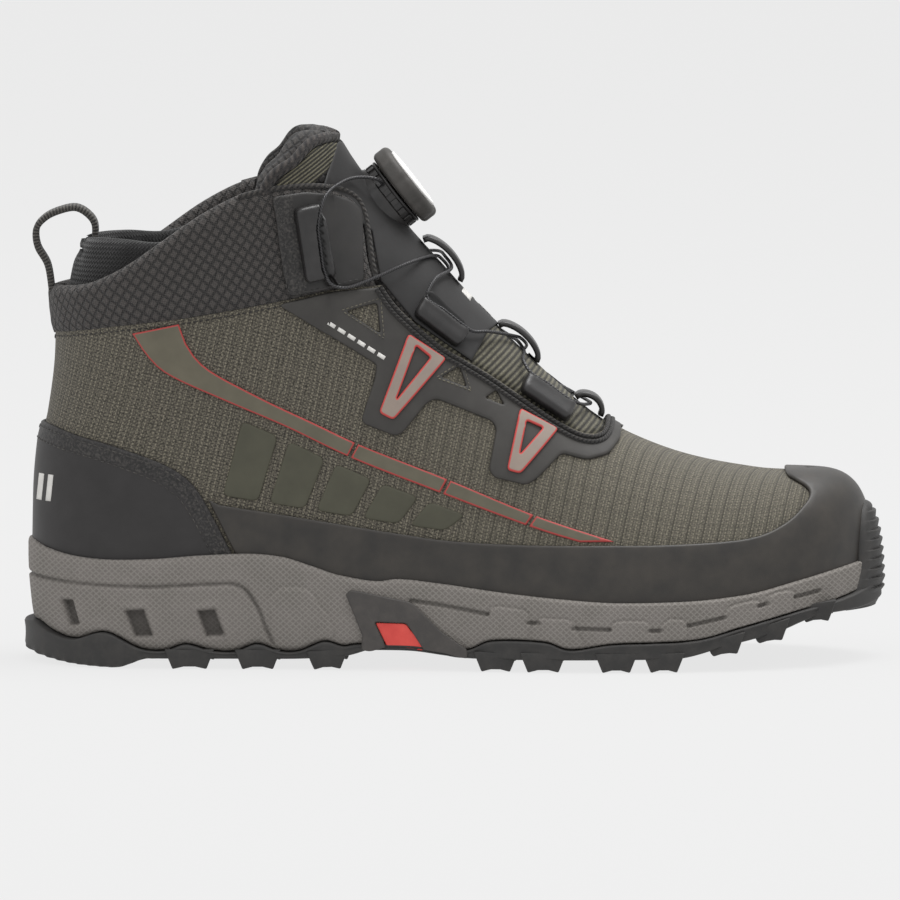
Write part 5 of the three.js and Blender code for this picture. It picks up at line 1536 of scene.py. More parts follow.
def stitch_row(lines, side, out, length=1.7, gap=0.8, radius=0.26):
    """Rows of single stitches: each is a short thread, pinched where it dives into the cloth."""
    verts, faces = [], []
    rings = [(0.0, 0.25, -0.3), (0.12, 0.8, 0), (0.5, 1.0, 0.15), (0.88, 0.8, 0), (1.0, 0.25, -0.3)]
    for line in lines:
        flat = closed_steps(line, 0.8) if np.allclose(line[0], line[-1]) else np.array(
            through(line, 2 * len(line) + 30)
        )
        t, w = locate(flat, out)
        route, over = form(t, w, side, out), form(t, w, side, out + 1)
        run = np.concatenate([[0], np.linalg.norm(np.diff(route, axis=0), axis=1).cumsum()])
        for start in np.arange(gap / 2, run[-1] - length, length + gap):
            first = len(verts)
            for share, size, lift in rings:
                here = start + share * length
                centre = np.array([np.interp(here, run, route[:, k]) for k in range(3)])
                up = np.array([np.interp(here, run, over[:, k]) for k in range(3)]) - centre
                ahead = np.array([np.interp(here + 0.3, run, route[:, k]) for k in range(3)]) - centre
                across = np.cross(up, ahead)
                across /= max(np.linalg.norm(across), 1e-9)
                for k in range(6):
                    a = k * math.pi / 3
                    verts.append(
                        centre + up * (
                            radius * size * math.sin(a) + lift * radius
                        ) + across * radius * size * math.cos(a)
                    )
            for r in range(4):
                for k in range(6):
                    a, b = first + r * 6, first + (r + 1) * 6
                    faces.append((a + k, a + (k + 1) % 6, b + (k + 1) % 6, b + k))
            faces += [tuple(first + k for k in range(6))[::-1], tuple(first + 24 + k for k in range(6))]
    return verts, faces


def stitches(name, lines, out, **sizes):
    verts, faces = [], []
    for side in (-1, 1):
        more, ends = stitch_row(lines, side, out, **sizes)
        faces += [tuple(i + len(verts) for i in f) for f in ends]
        verts += more
    keep(face_outwards(new_object(name, to_frame(np.array(verts)), faces)), "webbing")


throat_line = np.array(THROAT[:-4], float)
throat_ahead = np.gradient(throat_line, axis=0)
throat_across = np.stack([throat_ahead[:, 1], -throat_ahead[:, 0]], -1) / np.linalg.norm(throat_ahead, axis=1)[:, None]
SHIELD_DASHES = [
    [[2.4, 131.2], [4.2, 132.6], [7.0, 129.4], [5.4, 127.8]], [[8.4, 126.6], [10, 128], [12.8, 125], [11.3, 123.4]]
]
for side_name, side in SIDES.items():
    keep(sweep(f"collar_edge_cord_{side_name}", along(COLLAR_EDGE, side, 0.2), circle(1.15, 10)), "webbing")
    keep(sweep(f"tongue_rope_{side_name}", along(TONGUE_ROPE, side, -0.6), circle(2.0, 12)), "webbing")
    for row, distance in enumerate((0.5, 2.1)):
        route = on_upper(throat_line + throat_across * distance, side, 1.7)
        keep(sweep(f"throat_cord_{row}_{side_name}", route, circle(0.8, 8)), "webbing")
    elastic = sheet_of(
        f"tongue_elastic_{side_name}", Pattern(rounded(ELASTIC, 2), 0.4), *film(-0.9, 0.6, 0.5), sides=(side,)
    )
    keep(elastic, "tongue_fabric")
    # Plain dashes stand where the boot carries words and a numeral.
    dashes = []
    for k in range(6):
        x, z = -44.4 + 3.5 * k, 122.6 - 2.2 * k
        dashes.append([[x, z], [x + 2.5, z - 1.57], [x + 1.8, z - 2.7], [x - 0.7, z - 1.13]])
    for k in range(2):
        x = -148.4 + 3.4 * k
        dashes.append([[x, 57.4], [x + 1.8, 57.4], [x + 2.8, 66.8], [x + 1.0, 66.8]])
    marks = [(f"shield_{k}", shape, 0.9, (1.0, 0.6)) for k, shape in enumerate(SHIELD_DASHES if side < 0 else [])]
    marks += [(f"{k}_{side_name}", shape, 1.6, (1.68, 1.3)) for k, shape in enumerate(dashes)]
    for label, shape, out, heights in marks:
        pattern = Pattern(shape, out, spacing=1.2, rings=(), seams=False)
        keep(sheet_of(f"printed_dash_{label}", pattern, *heights, sides=(side,)), "shield_film")
COUNTER_INNER = [[x - 1.4, z - 1.3] for x, z in COUNTER_TOP[3:]]
COUNTER_DEEP = [[x - 4.6, z - 5.2] for x, z in COUNTER_TOP[6:]]
WINDOW_RINGS = [
    [[-40.1, 126.3], [-26.2, 130.4], [-25.0, 116.4], [-40.1, 126.3]],
    [[-6.6, 102.6], [2.5, 108.2], [5.6, 98], [-6.6, 102.6]],
]
stitches("counter_border_stitches", [COUNTER_INNER, COUNTER_DEEP], 1.55)
stitches("window_border_stitches", WINDOW_RINGS, 1.55, length=1.1, gap=0.5, radius=0.22)
stitches(
    "collar_seam_stitches", [[[x, z - 1.2] for x, z in COLLAR_LOWER[4:-12]]], 0.15, length=1.5, gap=0.7, radius=0.22
)
stitches(
    "panel_border_stitches",
    [[[-62.9, 165.2], [-61.5, 159.9], [-60.3, 149.7], [-58.9, 139.9], [-57.2, 133], [-33.6, 137.2]]],
    3.1,
    length=1.4,
    gap=0.7,
    radius=0.22,
)

# ---------------------------------------------------------------- heel pull loop
LOOP_LINE = through(
    [
        [-142.9, 130.6], [-144.4, 140.1], [-148, 146.8], [-148.4, 153], [-145, 157.1], [-139.8, 159.5],
        [-134.4, 160.4], [-130, 158], [-127.6, 154], [-128, 146.6],
    ], 60
)
loop_route = np.array([[x, 0, z] for x, z in LOOP_LINE])
outwards = np.cross(np.gradient(loop_route, axis=0), [0, 1, 0])
keep(sweep("heel_pull_webbing", loop_route, slab(12, 2.2, 0.9), outwards), "webbing", "heel_pull_loop")

# ---------------------------------------------------------------- materials
def linear(colour):
    """An sRGB hex colour as the linear values that the shader takes."""
    parts = [int(colour[i : i + 2], 16) / 255 for i in (1, 3, 5)]
    return (*[c / 12.92 if c <= 0.04045 else ((c + 0.055) / 1.055) ** 2.4 for c in parts], 1)


# The setting that a kind of node is most often given: it is written after the kind.
SIGNS = {"*": "MULTIPLY", "+": "ADD", "-": "SUBTRACT"}
MODES = {"Math": "operation", "VectorMath": "operation", "Mix": "data_type", "TexWave": "bands_direction"}
# A wave texture's period is 0.31416 over its scale, and this much distortion detail makes its ridges look spun.
RIDGES = 0.31416
YARN = {"Detail": 1, "Detail Scale": 1.5}
# How uneven a noise is: smooth patches, patches with some detail, and the fuzz of spun yarn.
EVEN = {"Detail": 2, "Roughness": 0.55}
CLOUDY = {"Detail": 3, "Roughness": 0.55}
FUZZY = {"Detail": 3, "Roughness": 0.7}


def start_material(name, **sockets):
    """A new material, with the numbers that are the same all over it, and the one function that adds a node to it."""
    made = bpy.data.materials.new(name)
    made.use_nodes = True
    tree = made.node_tree
    for key, value in sockets.items():
        tree.nodes["Principled BSDF"].inputs[key.replace("_", " ")].default_value = value

    def put(kind, *inputs, out=0, **settings):
        """Adds a node. Its inputs go in turn or by name: a value, a hex colour, or another node's output to link."""
        kind, _, mode = kind.partition(" ")
        made = tree.nodes.new("ShaderNode" + kind)
        if mode:
            settings[MODES[kind]] = SIGNS.get(mode, mode)
        for key, value in settings.items():
            setattr(made, key, value)
        for key, value in inputs[0].items() if inputs and isinstance(inputs[0], dict) else enumerate(inputs):
            if isinstance(value, bpy.types.NodeSocket):
                tree.links.new(value, made.inputs[key])
            else:
                made.inputs[key].default_value = linear(value) if isinstance(value, str) else value
        return made.outputs[out]

    return made, put


def finish(made, **sockets):
    """Links the finished patterns to the shader's sockets."""
    shader = made.node_tree.nodes["Principled BSDF"]
    for key, value in sockets.items():
        made.node_tree.links.new(value, shader.inputs[key.replace("_", " ")])
    return made


def cloth_mm(put, turn=0.0):
    """The piece's own flat pattern in millimetres: along the boot, and up from the sole."""
    flat = put("VectorMath MULTIPLY", put("UVMap", uv_map="weave"), (1000, 1000, 1000))
    return put("Mapping", {"Vector": flat, "Rotation": (0, 0, turn)}) if turn else flat


def place_mm(put, turn=(0, 0, 0)):
    """The place on the boot in millimetres."""
    flat = put("VectorMath MULTIPLY", put("TexCoord", out="Object"), (1000, 1000, 1000))
    return put("Mapping", {"Vector": flat, "Rotation": turn}) if any(turn) else flat


def edge_mm(put):
    """Distance from the piece's sewn edge, in millimetres."""
    return put("Math *", put("Attribute", out="Fac", attribute_name="edge"), 1000)


def woven(put, vector, pitch):
    """A plain weave's height: yarns one way and the other, over and under in turn.
    The real yarn is about 0.4 mm; it is drawn coarser so that it shows."""
    check = put("TexChecker", {"Vector": vector, "Scale": 1 / pitch, "Color1": "#ffffff", "Color2": "#000000"})
    yarn = {"Vector": vector, "Scale": RIDGES / pitch, "Distortion": 0.4, **YARN}
    warp, weft = (put("TexWave " + direction, yarn, out=1) for direction in "XY")
    return put("Mix", {0: check, 2: warp, 3: weft})


def ripstop_polyester():
    # Woven polyester ripstop of melange yarn: dull and fibrous, with dotted raised yarns and a dark furrow grid beside
    # them.
    made, put = start_material(
        "ripstop_polyester_melange", Roughness=0.88, IOR=1.5, Sheen_Weight=0.08, Sheen_Roughness=0.5
    )
    flat = cloth_mm(put, 0.2)
    weave = woven(put, flat, 0.8)
    yarn = put("TexNoise", {"Vector": flat, "Scale": 1 / 0.75, **FUZZY})
    cloud = put("TexNoise", {"Vector": flat, "Scale": 1 / 14, **EVEN})
    height_up = put("SeparateXYZ", flat, out="Y")
    forward = put("SeparateXYZ", place_mm(put), out="X")
    front = put("MapRange", forward, -40, 40)
    body = put("Mix RGBA", {0: put("MapRange", yarn, 0.39, 0.59), 6: "#211e1a", 7: "#767064"}, out=2)
    body = put("Mix RGBA", {0: put("Math *", put("MapRange", weave, 0.75, 0.05), 0.6), 6: body, 7: "#1e1c17"}, out=2)
    body = put("Mix RGBA", {0: put("Math *", cloud, 0.3), 6: body, 7: "#4c493d"}, out=2)
    dots = put(
        "Math *",
        put("MapRange", put("TexWave", {"Vector": flat, "Scale": RIDGES / 1.87}, out=1), 0.72, 0.95),
        put("MapRange", put("TexWave Y", {"Vector": flat, "Scale": RIDGES / 1.3}, out=1), 0.35, 0.7),
    )
    furrow = put("MapRange", put("TexWave", {"Vector": flat, "Scale": RIDGES / 5.6}, out=1), 0.968, 0.998)
    cross_furrow = put("MapRange", put("TexWave Y", {"Vector": flat, "Scale": RIDGES / 6.6}, out=1), 0.975, 0.999)
    body = put("Mix RGBA", {0: put("Math *", dots, 0.55), 6: body, 7: "#98927e"}, out=2)
    body = put(
        "Mix RGBA", {0: put("Math *", furrow, put("Math MULTIPLY_ADD", front, 0.62, 0.3)), 6: body, 7: "#191713"}, out=2
    )
    body = put(
        "Mix RGBA",
        {0: put("Math *", cross_furrow, put("Math MULTIPLY_ADD", front, 0.2, 0.12)), 6: body, 7: "#1f1d18"},
        out=2,
    )
    body = put("Mix RGBA", {0: put("Math *", front, 0.16), 6: body, 7: "#7d7868"}, out=2)
    # Corded ribs run down from the instep, strongest near the ridge.
    ribs = put(
        "Math *",
        put("TexWave", {"Vector": flat, "Scale": RIDGES / 1.87}, out=1),
        put("Math *", put("MapRange", height_up, 56, 84), front),
    )
    height = put("Math +", put("Math *", weave, 0.35), put("Math *", ribs, 1.8))
    height = put("Math +", height, put("Math *", dots, 0.5))
    height = put("Math -", height, put("Math *", put("Math MAXIMUM", furrow, put("Math *", cross_furrow, 0.4)), 0.8))
    bump = put("Bump", {"Height": height, "Distance": 0.30 * MM, "Strength": 0.85})
    return finish(made, Base_Color=body, Normal=bump)


def diamond_knit(name="diamond_jacquard_knit", low="#141314", high="#45413f", pitch=3.0):
    # Polyester jacquard knit over foam: raised diamonds of spun yarn with sunk lines between them. The yarn is dark;
    # the raised diamonds are painted lighter as a painted highlight, so the sunk lines between them read as shade.
    made, put = start_material(name, Roughness=0.92, IOR=1.5, Sheen_Weight=0.1, Sheen_Roughness=0.45)
    one = put("TexWave", {"Vector": cloth_mm(put, 0.5), "Scale": RIDGES / pitch, "Distortion": 0.5, **YARN}, out=1)
    two = put("TexWave", {"Vector": cloth_mm(put, -0.95), "Scale": RIDGES / pitch, "Distortion": 0.5, **YARN}, out=1)
    diamond = put("MapRange", put("Math MINIMUM", one, two), 0.02, 0.34)
    yarn = woven(put, cloth_mm(put, 0.2), 0.75)
    fuzz = put("TexNoise", {"Vector": cloth_mm(put), "Scale": 1 / 0.8, **FUZZY})
    # Painted highlight: the raised diamonds take the lighter colour, and the sunk lines keep the dark yarn colour.
    body = put("Mix RGBA", {0: diamond, 6: low, 7: high}, out=2)
    body = put("Mix RGBA", {0: put("Math *", put("MapRange", fuzz, 0.3, 0.7), 0.55), 6: body, 7: low}, out=2)
    body = put("Mix RGBA", {0: put("Math *", yarn, 0.14), 6: body, 7: "#8a857f"}, out=2)
    under = put("Bump", {"Height": diamond, "Distance": 0.6 * MM, "Strength": 0.9})
    bump = put("Bump", {"Height": put("Math +", yarn, fuzz), "Distance": 0.18 * MM, "Strength": 0.8, "Normal": under})
    return finish(made, Base_Color=body, Normal=bump)


def moulded_film(name, colour, worn, rim=0.0, grain=0.35, rough=0.55, outline=None, outline_width=1.0, strip=False):
    # Thermoplastic polyurethane film, hot-pressed on: even and matt, with a fine leather-like grain and a paler worn
    # rim.
    made, put = start_material(name, Roughness=rough, IOR=1.48)
    place = place_mm(put)
    specks = put("TexNoise", {"Vector": place, "Scale": 1 / grain, **CLOUDY})
    cloud = put("TexNoise", {"Vector": place, "Scale": 1 / 9, **CLOUDY})
    body = put("Mix RGBA", {0: put("MapRange", cloud, 0.3, 0.75), 6: colour, 7: worn}, out=2)
    body = put("Mix RGBA", {0: put("Math *", put("MapRange", specks, 0.35, 0.8), 0.25), 6: body, 7: worn}, out=2)
    distance = edge_mm(put)
    height = specks
    if strip:
        # A grained strip runs down behind the lace guide, 7 mm wide from the panel's slanted rear edge.
        x = put("SeparateXYZ", place, out="X")
        z = put("SeparateXYZ", place, out="Z")
        from_rear = put("Math +", put("Math +", x, 64.4), put("Math *", put("Math -", z, 166.6), 0.173))
        border = put("MapRange", from_rear, 7.4, 6.6)
    elif rim:
        border = put("MapRange", distance, rim, rim - 0.8)
    if rim or strip:
        coarse = put("TexNoise", {"Vector": place, "Scale": 1 / 0.9, "Detail": 2, "Roughness": 0.6})
        body = put(
            "Mix RGBA", {0: put("Math *", border, put("MapRange", coarse, 0.5, 0.7)), 6: body, 7: "#413e3b"}, out=2
        )
        body = put(
            "Mix RGBA", {0: put("Math *", border, put("MapRange", coarse, 0.52, 0.36)), 6: body, 7: "#121110"}, out=2
        )
        height = put("Math +", specks, put("Math *", put("Math *", border, coarse), 5))
    if outline:
        line = put("MapRange", distance, outline_width + 0.12, outline_width - 0.12)
        body = put("Mix RGBA", {0: line, 6: body, 7: outline}, out=2)
    else:
        rub = put("MapRange", distance, 0.9, 0.2)
        body = put("Mix RGBA", {0: put("Math *", rub, 0.35), 6: body, 7: worn}, out=2)
    dull = put("Math +", put("Math *", specks, 0.2), rough - 0.08)
    bump = put("Bump", {"Height": height, "Distance": 0.06 * MM, "Strength": 0.7})
    return finish(made, Base_Color=body, Roughness=dull, Normal=bump)


def sole_foam():
    # Compression-moulded EVA: a closed-cell foam with a dull skin, and a fine cross-hatch cut in the mould. Its sunk
    # grooves and recesses are darkened by their depth as painted shade.
    made, put = start_material("moulded_eva_foam", Roughness=0.82, IOR=1.45)
    hatch_one = place_mm(put, (0, math.radians(48), 0))
    hatch_two = place_mm(put, (0, math.radians(-48), 0))
    one = put("TexWave", {"Vector": hatch_one, "Scale": RIDGES / 1.5}, out=1)
    two = put("TexWave", {"Vector": hatch_two, "Scale": RIDGES / 1.5}, out=1)
    hatch = put("MapRange", put("Math MAXIMUM", one, two), 0.55, 0.98)
    grain = put("TexNoise", {"Vector": place_mm(put), "Scale": 1 / 0.5, **CLOUDY})
    cloud = put("TexNoise", {"Vector": place_mm(put), "Scale": 1 / 12, **EVEN})
    body = put("Mix RGBA", {0: put("MapRange", cloud, 0.3, 0.7), 6: "#696560", 7: "#746f6b"}, out=2)
    body = put("Mix RGBA", {0: put("Math *", hatch, 0.5), 6: body, 7: "#8f8b86"}, out=2)
    # Painted shade: the deeper a groove or recess of the wall, the darker it is painted.
    recess = put("MapRange", edge_mm(put), -0.12, -2.0)
    body = put("Mix RGBA", {0: put("Math *", recess, 0.68), 6: body, 7: "#252220"}, out=2)
    body = put("Mix RGBA", {0: put("Math *", put("MapRange", grain, 0.55, 0.3), 0.35), 6: body, 7: "#524e4a"}, out=2)
    bump = put(
        "Bump", {"Height": put("Math +", hatch, put("Math *", grain, 0.5)), "Distance": 0.16 * MM, "Strength": 0.7}
    )
    return finish(made, Base_Color=body, Normal=bump)


def sole_rubber(name="moulded_rubber", colour="#252423", worn="#373533"):
    # Carbon-filled natural rubber, moulded: near black, soft sheen, with dust-pale scuffs.
    made, put = start_material(name, Roughness=0.62, IOR=1.52)
    place = place_mm(put)
    grain = put("TexNoise", {"Vector": place, "Scale": 1 / 0.45, **CLOUDY})
    scuff = put("TexNoise", {"Vector": place, "Scale": 1 / 5, "Detail": 4, "Roughness": 0.7})
    body = put("Mix RGBA", {0: put("MapRange", scuff, 0.4, 0.75), 6: colour, 7: worn}, out=2)
    dull = put("Math +", put("Math *", scuff, 0.3), 0.5)
    bump = put("Bump", {"Height": grain, "Distance": 0.08 * MM, "Strength": 0.6})
    return finish(made, Base_Color=body, Roughness=dull, Normal=bump)


def moulded_plastic(name, colour, worn, rough=0.42, grain=0.4, depth=0.03):
    # Injection-moulded nylon or ABS: an even colour with faint paler patches, and a spark-eroded satin grain.
    made, put = start_material(name, Roughness=rough, IOR=1.53)
    place = place_mm(put)
    specks = put("TexNoise", {"Vector": place, "Scale": 1 / grain, **EVEN})
    body = put(
        "Mix RGBA",
        {
            0: put("MapRange", put("TexNoise", {"Vector": place, "Scale": 1 / 6, **CLOUDY}), 0.35, 0.75),
            6: colour,
            7: worn,
        },
        out=2,
    )
    dull = put("Math +", put("Math *", specks, 0.25), rough - 0.1)
    bump = put("Bump", {"Height": specks, "Distance": depth * MM, "Strength": 0.6})
    return finish(made, Base_Color=body, Roughness=dull, Normal=bump)


def slotted_guide():
    # Injection-moulded nylon, satin; the slot that the lace runs in is darkened by its depth as painted shade.
    made, put = start_material("nylon_lace_guide", Roughness=0.42, IOR=1.53)
    place = place_mm(put)
    body = put(
        "Mix RGBA",
        {
            0: put("MapRange", put("TexNoise", {"Vector": place, "Scale": 1 / 6, **CLOUDY}), 0.35, 0.75),
            6: "#1b1a1a",
            7: "#2a2828",
        },
        out=2,
    )
    # Painted shade: the slot is painted near black where it is deepest.
    body = put("Mix RGBA", {0: put("MapRange", edge_mm(put), -0.5, -2.2), 6: body, 7: "#060606"}, out=2)
    bump = put(
        "Bump",
        {
            "Height": put("TexNoise", {"Vector": place, "Scale": 1 / 0.4, **EVEN}),
            "Distance": 0.04 * MM,
            "Strength": 0.6,
        },
    )
    return finish(made, Base_Color=body, Normal=bump)


def coated_cable():
    # Stainless steel cable in a nylon coat: a fine twist shows through it.
    made, put = start_material("nylon_coated_steel_cable", Roughness=0.38, IOR=1.53, Metallic=0.2)
    twist = put("TexWave", {"Vector": cloth_mm(put, 0.75), "Scale": RIDGES / 0.8}, out=1)
    body = put("Mix RGBA", {0: twist, 6: "#161617", 7: "#454446"}, out=2)
    bump = put("Bump", {"Height": twist, "Distance": 0.12 * MM, "Strength": 0.7})
    return finish(made, Base_Color=body, Normal=bump)


def ribbed_webbing():
    # Woven polyester webbing: fine ribs across the band and a soft fuzz.
    made, put = start_material("woven_polyester_webbing", Roughness=0.9, IOR=1.5, Sheen_Weight=0.15)
    flat = cloth_mm(put)
    ribs = put("TexWave", {"Vector": flat, "Scale": RIDGES / 1.15, "Distortion": 0.6, **YARN}, out=1)
    fuzz = put("TexNoise", {"Vector": flat, "Scale": 1 / 0.6, **FUZZY})
    body = put(
        "Mix RGBA", {0: put("Math *", ribs, put("MapRange", fuzz, 0.25, 0.7)), 6: "#1f1e1d", 7: "#6c6862"}, out=2
    )
    bump = put("Bump", {"Height": put("Math +", ribs, fuzz), "Distance": 0.3 * MM, "Strength": 0.9})
    return finish(made, Base_Color=body, Normal=bump)


def fine_mesh(name, low, high, pitch=1.1, depth=0.25):
    # Warp-knit polyester mesh, brushed soft: the lining's everyday fabric.
    made, put = start_material(name, Roughness=0.95, IOR=1.5, Sheen_Weight=0.2, Sheen_Roughness=0.5)
    flat = cloth_mm(put, 0.785)
    mesh = woven(put, flat, pitch)
    fuzz = put("TexNoise", {"Vector": flat, "Scale": 1 / 0.9, **FUZZY})
    body = put("Mix RGBA", {0: put("Math *", mesh, put("MapRange", fuzz, 0.2, 0.8)), 6: low, 7: high}, out=2)
    bump = put(
        "Bump", {"Height": put("Math +", mesh, put("Math *", fuzz, 0.6)), "Distance": depth * MM, "Strength": 0.8}
    )
    return finish(made, Base_Color=body, Normal=bump)


def tongue_knit():
    # The tongue's face: a stretch rib knit in olive and charcoal yarn low on the instep, and a fuzzy black jacquard
    # higher up.
    made, put = start_material("stretch_rib_knit", Roughness=0.9, IOR=1.5, Sheen_Weight=0.1)
    place = place_mm(put)
    low_part = put("MapRange", put("SeparateXYZ", place, out="Z"), 124, 122)
    ribs = put(
        "TexWave",
        {"Vector": place_mm(put, (0, math.radians(-48), 0)), "Scale": RIDGES / 1.9, "Distortion": 0.3, **YARN},
        out=1,
    )
    fuzz = put("TexNoise", {"Vector": place, "Scale": 1 / 0.7, **FUZZY})
    chunks = put(
        "Math MINIMUM",
        put("TexWave", {"Vector": place_mm(put, (0, 0.6, 0)), "Scale": RIDGES / 2.6, "Distortion": 0.6, **YARN}, out=1),
        put(
            "TexWave", {"Vector": place_mm(put, (0, -0.9, 0)), "Scale": RIDGES / 2.6, "Distortion": 0.6, **YARN}, out=1
        ),
    )
    chunks = put("MapRange", chunks, 0.02, 0.4)
    olive = put(
        "Mix RGBA", {0: put("Math *", ribs, put("MapRange", fuzz, 0.15, 0.7)), 6: "#201e19", 7: "#7b7765"}, out=2
    )
    black = put(
        "Mix RGBA", {0: put("Math *", chunks, put("MapRange", fuzz, 0.25, 0.7)), 6: "#141313", 7: "#403c39"}, out=2
    )
    pattern = put("Mix", {0: low_part, 2: chunks, 3: ribs})
    body = put("Mix RGBA", {0: low_part, 6: black, 7: olive}, out=2)
    bump = put(
        "Bump", {"Height": put("Math +", pattern, put("Math *", fuzz, 0.6)), "Distance": 0.45 * MM, "Strength": 0.85}
    )
    return finish(made, Base_Color=body, Normal=bump)


def ribbed_elastic():
    # Covered rubber elastic: lengthwise ribs, olive on their crowns and black between.
    made, put = start_material("ribbed_polyester_elastic", Roughness=0.85, IOR=1.5)
    ribs = put(
        "TexWave",
        {"Vector": place_mm(put, (0, math.radians(126), 0)), "Scale": RIDGES / 1.2, "Distortion": 0.15, **YARN},
        out=1,
    )
    fuzz = put("TexNoise", {"Vector": place_mm(put), "Scale": 1 / 0.5, "Detail": 2, "Roughness": 0.6})
    crown = put("Math *", put("MapRange", ribs, 0.25, 0.8), put("MapRange", fuzz, 0.1, 0.7))
    body = put("Mix RGBA", {0: crown, 6: "#1f1d18", 7: "#6f6b58"}, out=2)
    bump = put("Bump", {"Height": ribs, "Distance": 0.4 * MM, "Strength": 0.9})
    return finish(made, Base_Color=body, Normal=bump)


def twisted_cord(name="twisted_polyester_cord", low="#161515", high="#4a4642", pitch=1.6):
    # Covered polyester cord: slanted strands with dark gaps, matt and a little fuzzy.
    made, put = start_material(name, Roughness=0.9, IOR=1.5, Sheen_Weight=0.1)
    strands = put("TexWave", {"Vector": cloth_mm(put, 0.7), "Scale": RIDGES / pitch, "Distortion": 0.3, **YARN}, out=1)
    fuzz = put("TexNoise", {"Vector": place_mm(put), "Scale": 1 / 0.6, **FUZZY})
    body = put("Mix RGBA", {0: put("Math *", strands, put("MapRange", fuzz, 0.2, 0.7)), 6: low, 7: high}, out=2)
    bump = put("Bump", {"Height": put("Math +", strands, fuzz), "Distance": 0.3 * MM, "Strength": 0.9})
    return finish(made, Base_Color=body, Normal=bump)


SLOT_MATERIALS = {
    "textile": ripstop_polyester(),
    "lining_fabric": fine_mesh("brushed_lining_mesh", "#121212", "#2f2d2c"),
    "counter_film": moulded_film("polyurethane_film_black", "#201e1e", "#292727", rim=6.2, rough=0.5),
    "rand_film": moulded_film("polyurethane_rand_film", "#242220", "#37332e", rough=0.46),
    "facing_film": moulded_film("polyurethane_facing_film", "#302e2c", "#3b3936", rough=0.58),
    "stripe_film": moulded_film("polyurethane_stripe_film", "#565244", "#625d4e", outline="#a63c39", outline_width=0.5),
    "loop_film": moulded_film("polyurethane_loop_film", "#867a72", "#938479", outline="#b8413d", outline_width=0.55),
    "collar_knit": diamond_knit(),
    "liner_fabric": fine_mesh("brushed_heel_lining", "#0b0b0b", "#1d1c1c", 1.2),
    "panel_film": moulded_film("smooth_cuff_film", "#1f1e1d", "#2a2827", rough=0.5, strip=True),
    "webbing": ribbed_webbing(),
    "tongue_fabric": tongue_knit(),
    "shield_film": moulded_film("neoprene_shield", "#181717", "#232222", rough=0.6),
    "dial_plastic": moulded_plastic("glass_filled_nylon_black", "#1c1b1b", "#2c2a29", 0.38),
    "dial_grip": moulded_plastic("soft_touch_rubber_grip", "#353330", "#43403d", 0.6, 0.6, 0.08),
    "dial_face": moulded_plastic("painted_dial_face", "#dedddb", "#e8e7e5", 0.35),
    "guide_plastic": slotted_guide(),
    "lace_wire": coated_cable(),
    "midsole_foam": sole_foam(),
    "shank_plastic": moulded_plastic("glass_filled_nylon_shank", "#3a3a3a", "#4a4a4a", 0.5),
    "outsole_rubber": sole_rubber(),
    "arch_plastic": sole_rubber("moulded_polyurethane_bridge", "#3a3735", "#4a4643"),
    "board": moulded_plastic("pressed_fibre_lasting_board", "#8a8476", "#b3ac9c", 0.85, 0.8, 0.15),
    "footbed_fabric": fine_mesh("footbed_mesh", "#1d1d1e", "#3a3a3b", 1.6),
    "stiffener": moulded_plastic("thermoplastic_heel_stiffener", "#c9c4b8", "#d8d4c8", 0.6),
}
# The CAD's own hidden parts, whose finishes read Object coordinates.
CAD_FINISHES = {
    "heel_cup_stiffener": "stiffener", "toe_puff": "stiffener", "shank": "shank_plastic", "lasting_board": "board"
}


def paint(piece, finish):
    piece.data.materials.clear()
    piece.data.materials.append(finish)


OWN_FINISHES = {
    "arch_insert_block": moulded_plastic("red_polyurethane_insert", "#c93a33", "#d84a40", 0.45),
    "side_bar_film": moulded_film("polyurethane_bar_film", "#403f32", "#49483a", rough=0.6),
    "printed_dash": moulded_plastic("screen_print_light_grey", "#c9c7c3", "#d8d6d2", 0.6, 0.3, 0.02),
    "tongue_elastic": ribbed_elastic(),
    "collar_edge_cord": twisted_cord(),
    "tongue_rope": twisted_cord("twisted_tongue_binding", "#171516", "#4d4743", 2.3),
    "throat_cord": twisted_cord("twisted_throat_binding", "#151414", "#3f3c39", 1.2),
    "counter_border_stitches": moulded_plastic("bonded_nylon_thread", "#2a2827", "#4a4743", 0.6, 0.3, 0.02),
    "window_border_stitches": moulded_plastic("light_bonded_thread", "#4a4740", "#77725f", 0.6, 0.3, 0.02),
    "collar_seam_stitches": moulded_plastic("dark_bonded_thread", "#1a1919", "#393634", 0.6, 0.3, 0.02),
    "panel_border_stitches": moulded_plastic("panel_bonded_thread", "#1c1b1b", "#454240", 0.6, 0.3, 0.02),
}
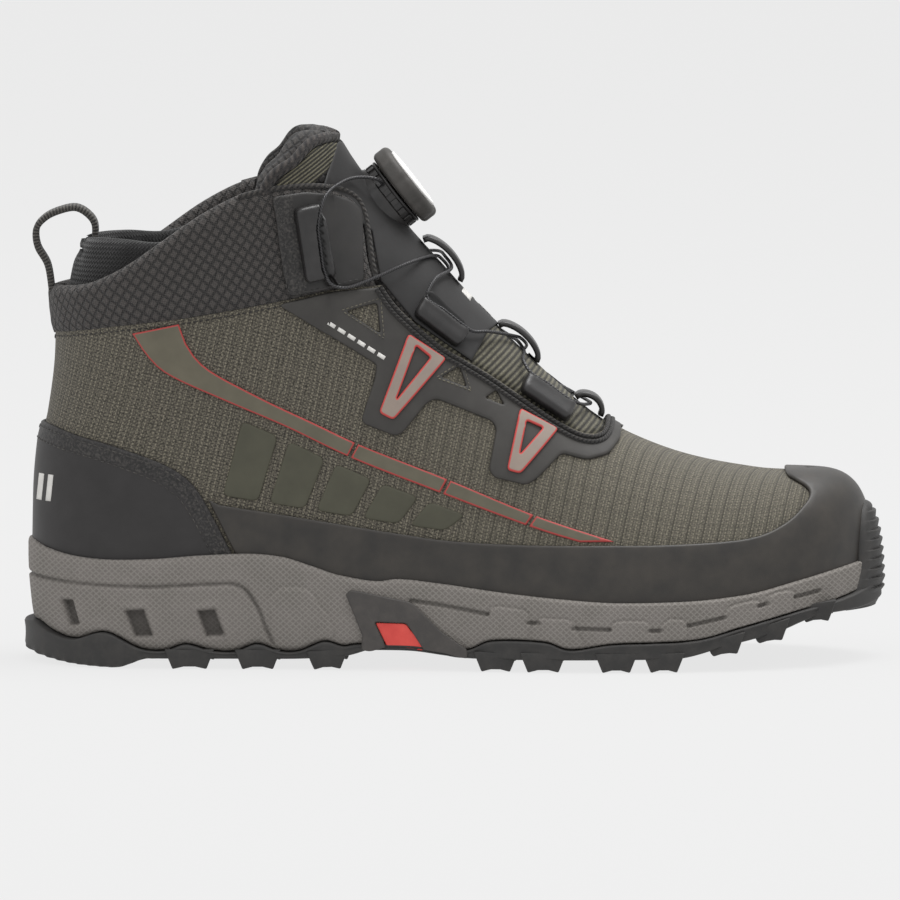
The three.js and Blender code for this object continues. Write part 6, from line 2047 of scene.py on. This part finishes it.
for piece in pieces.values():
    own = [finish for start, finish in OWN_FINISHES.items() if piece.name.startswith(start)]
    paint(piece, own[0] if own else SLOT_MATERIALS[piece["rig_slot"]])
for name, slot in CAD_FINISHES.items():
    paint(cad_nodes[name], SLOT_MATERIALS[slot])

# ---------------------------------------------------------------- camera, light and floor
CAMERA_DISTANCE = 5.0
FIELD_WIDTH = 0.31806  # width of the view at the boot's near side
ELEVATION = math.radians(5)
target = Vector((-0.00177, 0, 0.07402))
camera = bpy.data.objects.new("camera", bpy.data.cameras.new("camera"))
camera.data.lens = 36 * (CAMERA_DISTANCE - 0.025) / FIELD_WIDTH
camera.data.clip_end = 100
camera.location = target + Vector((0, -math.cos(ELEVATION), math.sin(ELEVATION))) * CAMERA_DISTANCE
camera.rotation_euler = (math.pi / 2 - ELEVATION, 0, 0)
bpy.context.scene.collection.objects.link(camera)
bpy.context.scene.camera = camera

world = bpy.data.worlds.new("studio")
world.use_nodes = True
world.node_tree.nodes["Background"].inputs["Color"].default_value = (1, 1, 1, 1)
world.node_tree.nodes["Background"].inputs["Strength"].default_value = 0.855
bpy.context.scene.world = world
bpy.context.scene.view_settings.view_transform = "Standard"
for name, size, power, place in [
    ("key", 1.4, 9, (-0.9, -1.5, 1.9)),
    ("top", 1.2, 42, (0.5, 0.2, 2.2)),
]:
    lamp = bpy.data.lights.new(name, "AREA")
    lamp.size, lamp.energy = size, power
    light = bpy.data.objects.new(name, lamp)
    light.location = place
    light.rotation_euler = (Vector((0, 0, 0.08)) - Vector(place)).to_track_quat("-Z", "Y").to_euler()
    bpy.context.scene.collection.objects.link(light)

bpy.ops.object.select_all(action="DESELECT")
bpy.ops.mesh.primitive_plane_add(size=40, location=(0, 0, 0))
floor = bpy.context.object
floor.name = "floor"
# Seamless pale studio paper, lit from below as a light table is, so that it stays even.
PAPER = {"Base_Color": linear("#464646"), "Emission_Color": linear("#ffffff"), "Emission_Strength": 0.77}
floor.data.materials.append(start_material("studio_paper", Roughness=0.9, Specular_IOR_Level=0, **PAPER)[0])
